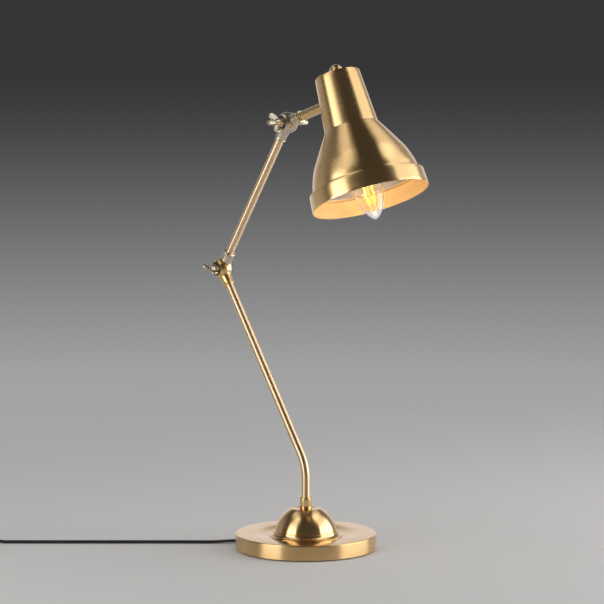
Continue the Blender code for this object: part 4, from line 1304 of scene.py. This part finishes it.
@dataclass
class Head:
    """The stem, the bell shade, the lampholder and the bulb."""

    wall: float = 1.0
    shoulder: float = 64.3
    bell_end: float = 129.3
    height: float = 150.0
    bulb_top: float = -101.3
    bulb_tip: float = -173.8
    stem_reach: float = 69.6

    def turned(self, name: str, profile: Profile, slot: Slot, material: bpy.types.Material, node: str,
               steps: int = 64, edge: float = 0.0) -> bpy.types.Object:
        """A piece turned on the shade's axis and dressed for the one node that it stands for."""
        piece = lathe(name, profile, LINE.shade, steps, edge)
        return dress(piece, "head", slot, material, stands_for=(node,))

    def shade_face(self) -> Profile:
        """The shade's outer face: neck, shoulder, bell, ledge and rim band."""
        neck: Profile = [(5.3, 0), (15, 0), (24.2, 0), *arc((24.4, -1.6), 1.6, 80, 6, 6)]
        neck += [(26.0 + 5.0 * i / 14, -1.6 - (self.shoulder - 1.6) * i / 14) for i in range(1, 15)]
        bell = flowing([(31.8, -65.2), (38.2, -75.6), (47.4, -91.2), (54.0, -103.0), (57.7, -112.6),
                        (60.3, -121.4), (61.5, -self.bell_end)], 8)
        ledge = [(61.9, -129.8), (65.1, -130.7), *arc((65.3, -131.7), 1.0, 80, 8, 5)]
        band = [(66.3 + 1.2 * i / 6, -132.2 - (self.height - 132.7) * i / 6) for i in range(1, 7)]
        return neck + bell + ledge + band + [(67.4, -self.height)]

    def build_shade(self) -> None:
        """The shade, brushed outside and satin inside, with the stem's hole."""
        outer = self.shade_face()
        shade = lathe("bell_shade", outer + inside_of(outer, self.wall)[::-1], LINE.shade, 224)
        combine(shade, rod("stem_hole", 5.3, 63, 75, LINE.stem, 48))
        finished(shade)
        dress(shade, "head", Slot.SHADE, SHADE_BRASS.over(LINE.shade), SATIN_LINING.over(LINE.shade),
              PALE_LINING.over(LINE.shade), stands_for=("shade",))
        back = LINE.shade.inverted()
        for face in shade.data.polygons:
            middle, out = back @ face.center, back.to_3x3() @ face.normal
            inwards = out.xy.dot(middle.xy.normalized()) < -0.05
            if inwards or (out.z < 0 and middle.z > -0.003):
                face.material_index = 1 if middle.z < -self.bell_end * MM else 2

    def build_stem(self) -> None:
        """The stem between the head's joint and the shade, with its shoulder, and the finial."""
        reach = self.stem_reach
        stem = [(4.2, reach + 6.8), (4.8, reach + 6.2), (4.8, reach - 0.2), (5.3, reach - 0.2), (5.6, reach - 0.6),
                (5.6, 50.0), (5.6, 30.0), (5.6, 26.0), (5.3, 25.5), (5.0, 25.2), (5.0, 14.5), (3.8, 14.5),
                (3.8, reach + 6.8)]
        piece = lathe("stem", stem, LINE.stem, 56)
        dress(piece, "head", Slot.TUBE, TURNED_BRASS.over(LINE.stem), stands_for=("head_stem",))
        cap = [(0, 12.4), *arc((0, 4.6), 7.8, 88, 22, 16)[1:], (7.75, 6.4), (7.5, 5.9), (7.6, 5.4), (7.9, 4.9),
               (7.9, 1.0), (7.6, 0.3), (5.3, 0.3), (5.3, 8.6), (0, 8.6)]
        self.turned("finial", cap, Slot.SHADE, TURNED_BRASS.over(LINE.shade), "finial_nut", 72)

    def build_holder(self) -> None:
        """The lampholder: ribbed cap, body and screw shell."""
        cap: Profile = [(5.3, -44.0), (12.0, -44.0), (13.2, -44.5), (13.9, -46.0)]
        for i in range(7):
            low = -48.0 - 2.6 * i
            cap += [(14.3, low + 0.9), (14.3, low - 0.5), (13.9, low - 0.8), (13.9, low - 1.4)]
        cap += [(14.4, -66.4), (14.4, -67.4), (12.9, -67.4), (12.9, -46.4), (5.3, -45.4)]
        dark = HOLDER_PLASTIC.over(LINE.shade)
        self.turned("holder_top", cap, Slot.PLASTIC, dark, "holder_cap")
        body = [(0, -68), (13.6, -68), (14.0, -69), (14.0, -80), (14.0, -95.8), (13.2, -97), (9.4, -97),
                (8.9, -96.5), (8.9, -73.2), (0, -73.2)]
        self.turned("holder_barrel", body, Slot.PLASTIC, dark, "holder_body", 64, 0.3)
        thread: Profile = [(8.6, -74.5), (8.3, -95.5), (7.9, -95.5)]
        for i in range(12):
            low = -94.0 + 1.6 * i
            thread += [(7.75, low), (8.1, low + 0.8)]
        thread += [(7.9, -74.5)]
        brass = TURNED_BRASS.over(LINE.shade)
        self.turned("holder_thread", thread, Slot.CONTACT, brass, "holder_screw_shell", 48)

    def build_bulb(self) -> None:
        """The lit candle bulb: clear glass, threaded cap, mount and filament sticks."""
        top, tip = self.bulb_top, self.bulb_tip
        knots = [(9.4, top), (10.6, top - 6), (13.6, top - 14), (16.4, top - 23), (17.5, top - 32),
                 (16.9, top - 41), (14.6, top - 51), (11.2, top - 60), (7.2, top - 66.5), (3.6, tip + 1.9),
                 (1.5, tip + 0.5)]
        outer = flowing(knots, 6) + [(0.7, tip + 0.12), (0, tip)]
        inner = inside_of(outer, 0.8)
        inner[-1] = (0, tip + 0.8)
        clear = ClearGlass().over(LINE.shade)
        glass = self.turned("candle_glass", outer[::-1] + inner, Slot.GLASS, clear, "bulb_glass", 72)
        glass.visible_shadow = False

        cap: Profile = [(0, -78.4), (5.4, -78.4), (6.4, -79.8)]
        for i in range(9):
            low = -80.8 - 1.7 * i
            cap += [(6.8, low), (6.3, low - 0.85)]
        cap += [(6.8, -96.6), (7.6, -98.2), (9.0, -99.6), (9.3, -100.4), (9.3, top + 0.2), (0, top + 0.2)]
        self.turned("bulb_thread", cap, Slot.CAP, PLATED_STEEL.over(LINE.shade), "bulb_cap", 56)
        mount = [(0, top - 0.3), (5.0, top - 0.3), (4.4, top - 3), (3.0, top - 8), (1.6, top - 13),
                 (1.0, top - 20), (0.8, top - 53), (0, top - 53.4)]
        clear = ClearGlass("bulb_stem_glass").over(LINE.shade)
        stem = self.turned("bulb_stem", mount, Slot.GLASS, clear, "bulb_mount", 32)
        stem.visible_shadow = False

        ring = [(5.4, top - 51.7), (5.4, top - 52.4), (4.6, top - 52.4), (4.6, top - 51.7)]
        sticks = lathe("filament_sticks", ring, LINE.shade, 48)
        for index in range(4):
            angle = math.radians(45 + 90 * index)
            place = LINE.shade @ at(5.0 * math.cos(angle), 5.0 * math.sin(angle), 0)
            stick = lathe("stick", [(0, top - 18), (0.7, top - 18.2), (0.95, top - 19), (0.95, top - 51.6),
                                    (0.7, top - 52.2), (0, top - 52.3)], place, 24)
            combine(sticks, stick, "UNION")
        finished(sticks)
        sticks.visible_shadow = False
        dress(sticks, "head", Slot.FILAMENT, Glow().over(LINE.shade), stands_for=("bulb_filaments",))

        light = bpy.data.lights.new("bulb_light", "POINT")
        light.energy = 0.075
        light.color = (1.0, 0.78, 0.48)
        light.shadow_soft_size = 0.008
        holder = linked("bulb_light", light)
        holder.matrix_world = LINE.shade @ at(0, 0, top - 34)
        holder.visible_camera = holder.visible_transmission = False
        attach(holder, "head")

    def build(self) -> None:
        """All of the head."""
        self.build_shade()
        self.build_stem()
        self.build_holder()
        self.build_bulb()


# ---------------------------------------------------------------- pieces kept from the frame


@dataclass
class Kept:
    """The frame's own nodes that stay as they are and only take a finish."""

    def finishes(self) -> dict[str, tuple[Slot, bpy.types.Material]]:
        """Each kept node's slot and material."""
        iron, felt = CAST_IRON.over(), Felt().over()
        steel, clip, flex = PLATED_STEEL.over(), BLACK_PLASTIC.over(), FLEX_SLEEVE.over()
        contact = TURNED_BRASS.over(LINE.shade)
        kept = {"base_weight": (Slot.IRON, iron), "felt_pad": (Slot.FELT, felt),
                "cord_clamp": (Slot.PLASTIC, clip),
                "bulb_insulator": (Slot.PLASTIC, HOLDER_PLASTIC.over(LINE.shade)),
                "holder_contact": (Slot.CONTACT, contact), "bulb_contact": (Slot.CAP, steel)}
        for name in ("bottom_cover", "base_nipple", "base_washer", "base_lock_nut", "clamp_screw_1",
                     "clamp_screw_2", "switch_screw_1", "switch_screw_2", "stem_lock_nut", "holder_nipple",
                     "nipple_jam_nut"):
            kept[name] = (Slot.STEEL, steel)
        for name in ("lower_arm_lead", "upper_arm_lead", "head_lead"):
            kept[name] = (Slot.FLEX, flex)
        return kept

    def build(self, nodes: dict[str, bpy.types.Object]) -> None:
        """Gives each kept node its finish."""
        for name, (slot, material) in self.finishes().items():
            node = nodes[name]
            node.data.materials.clear()
            node.data.materials.append(material)
            log.info("%s keeps its frame mesh in %s", name, material.name)


def main() -> None:
    """Builds the studio and the lamp in order."""
    logging.basicConfig(level=logging.INFO, format="%(name)s: %(message)s")
    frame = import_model()
    studio = Studio()
    studio.camera()
    Flex().build()
    Base().build()
    Arms().build()
    Head().build()
    Kept().build(frame["nodes"])
    studio.build()
    deselect()


if __name__ == "__main__":
    main()
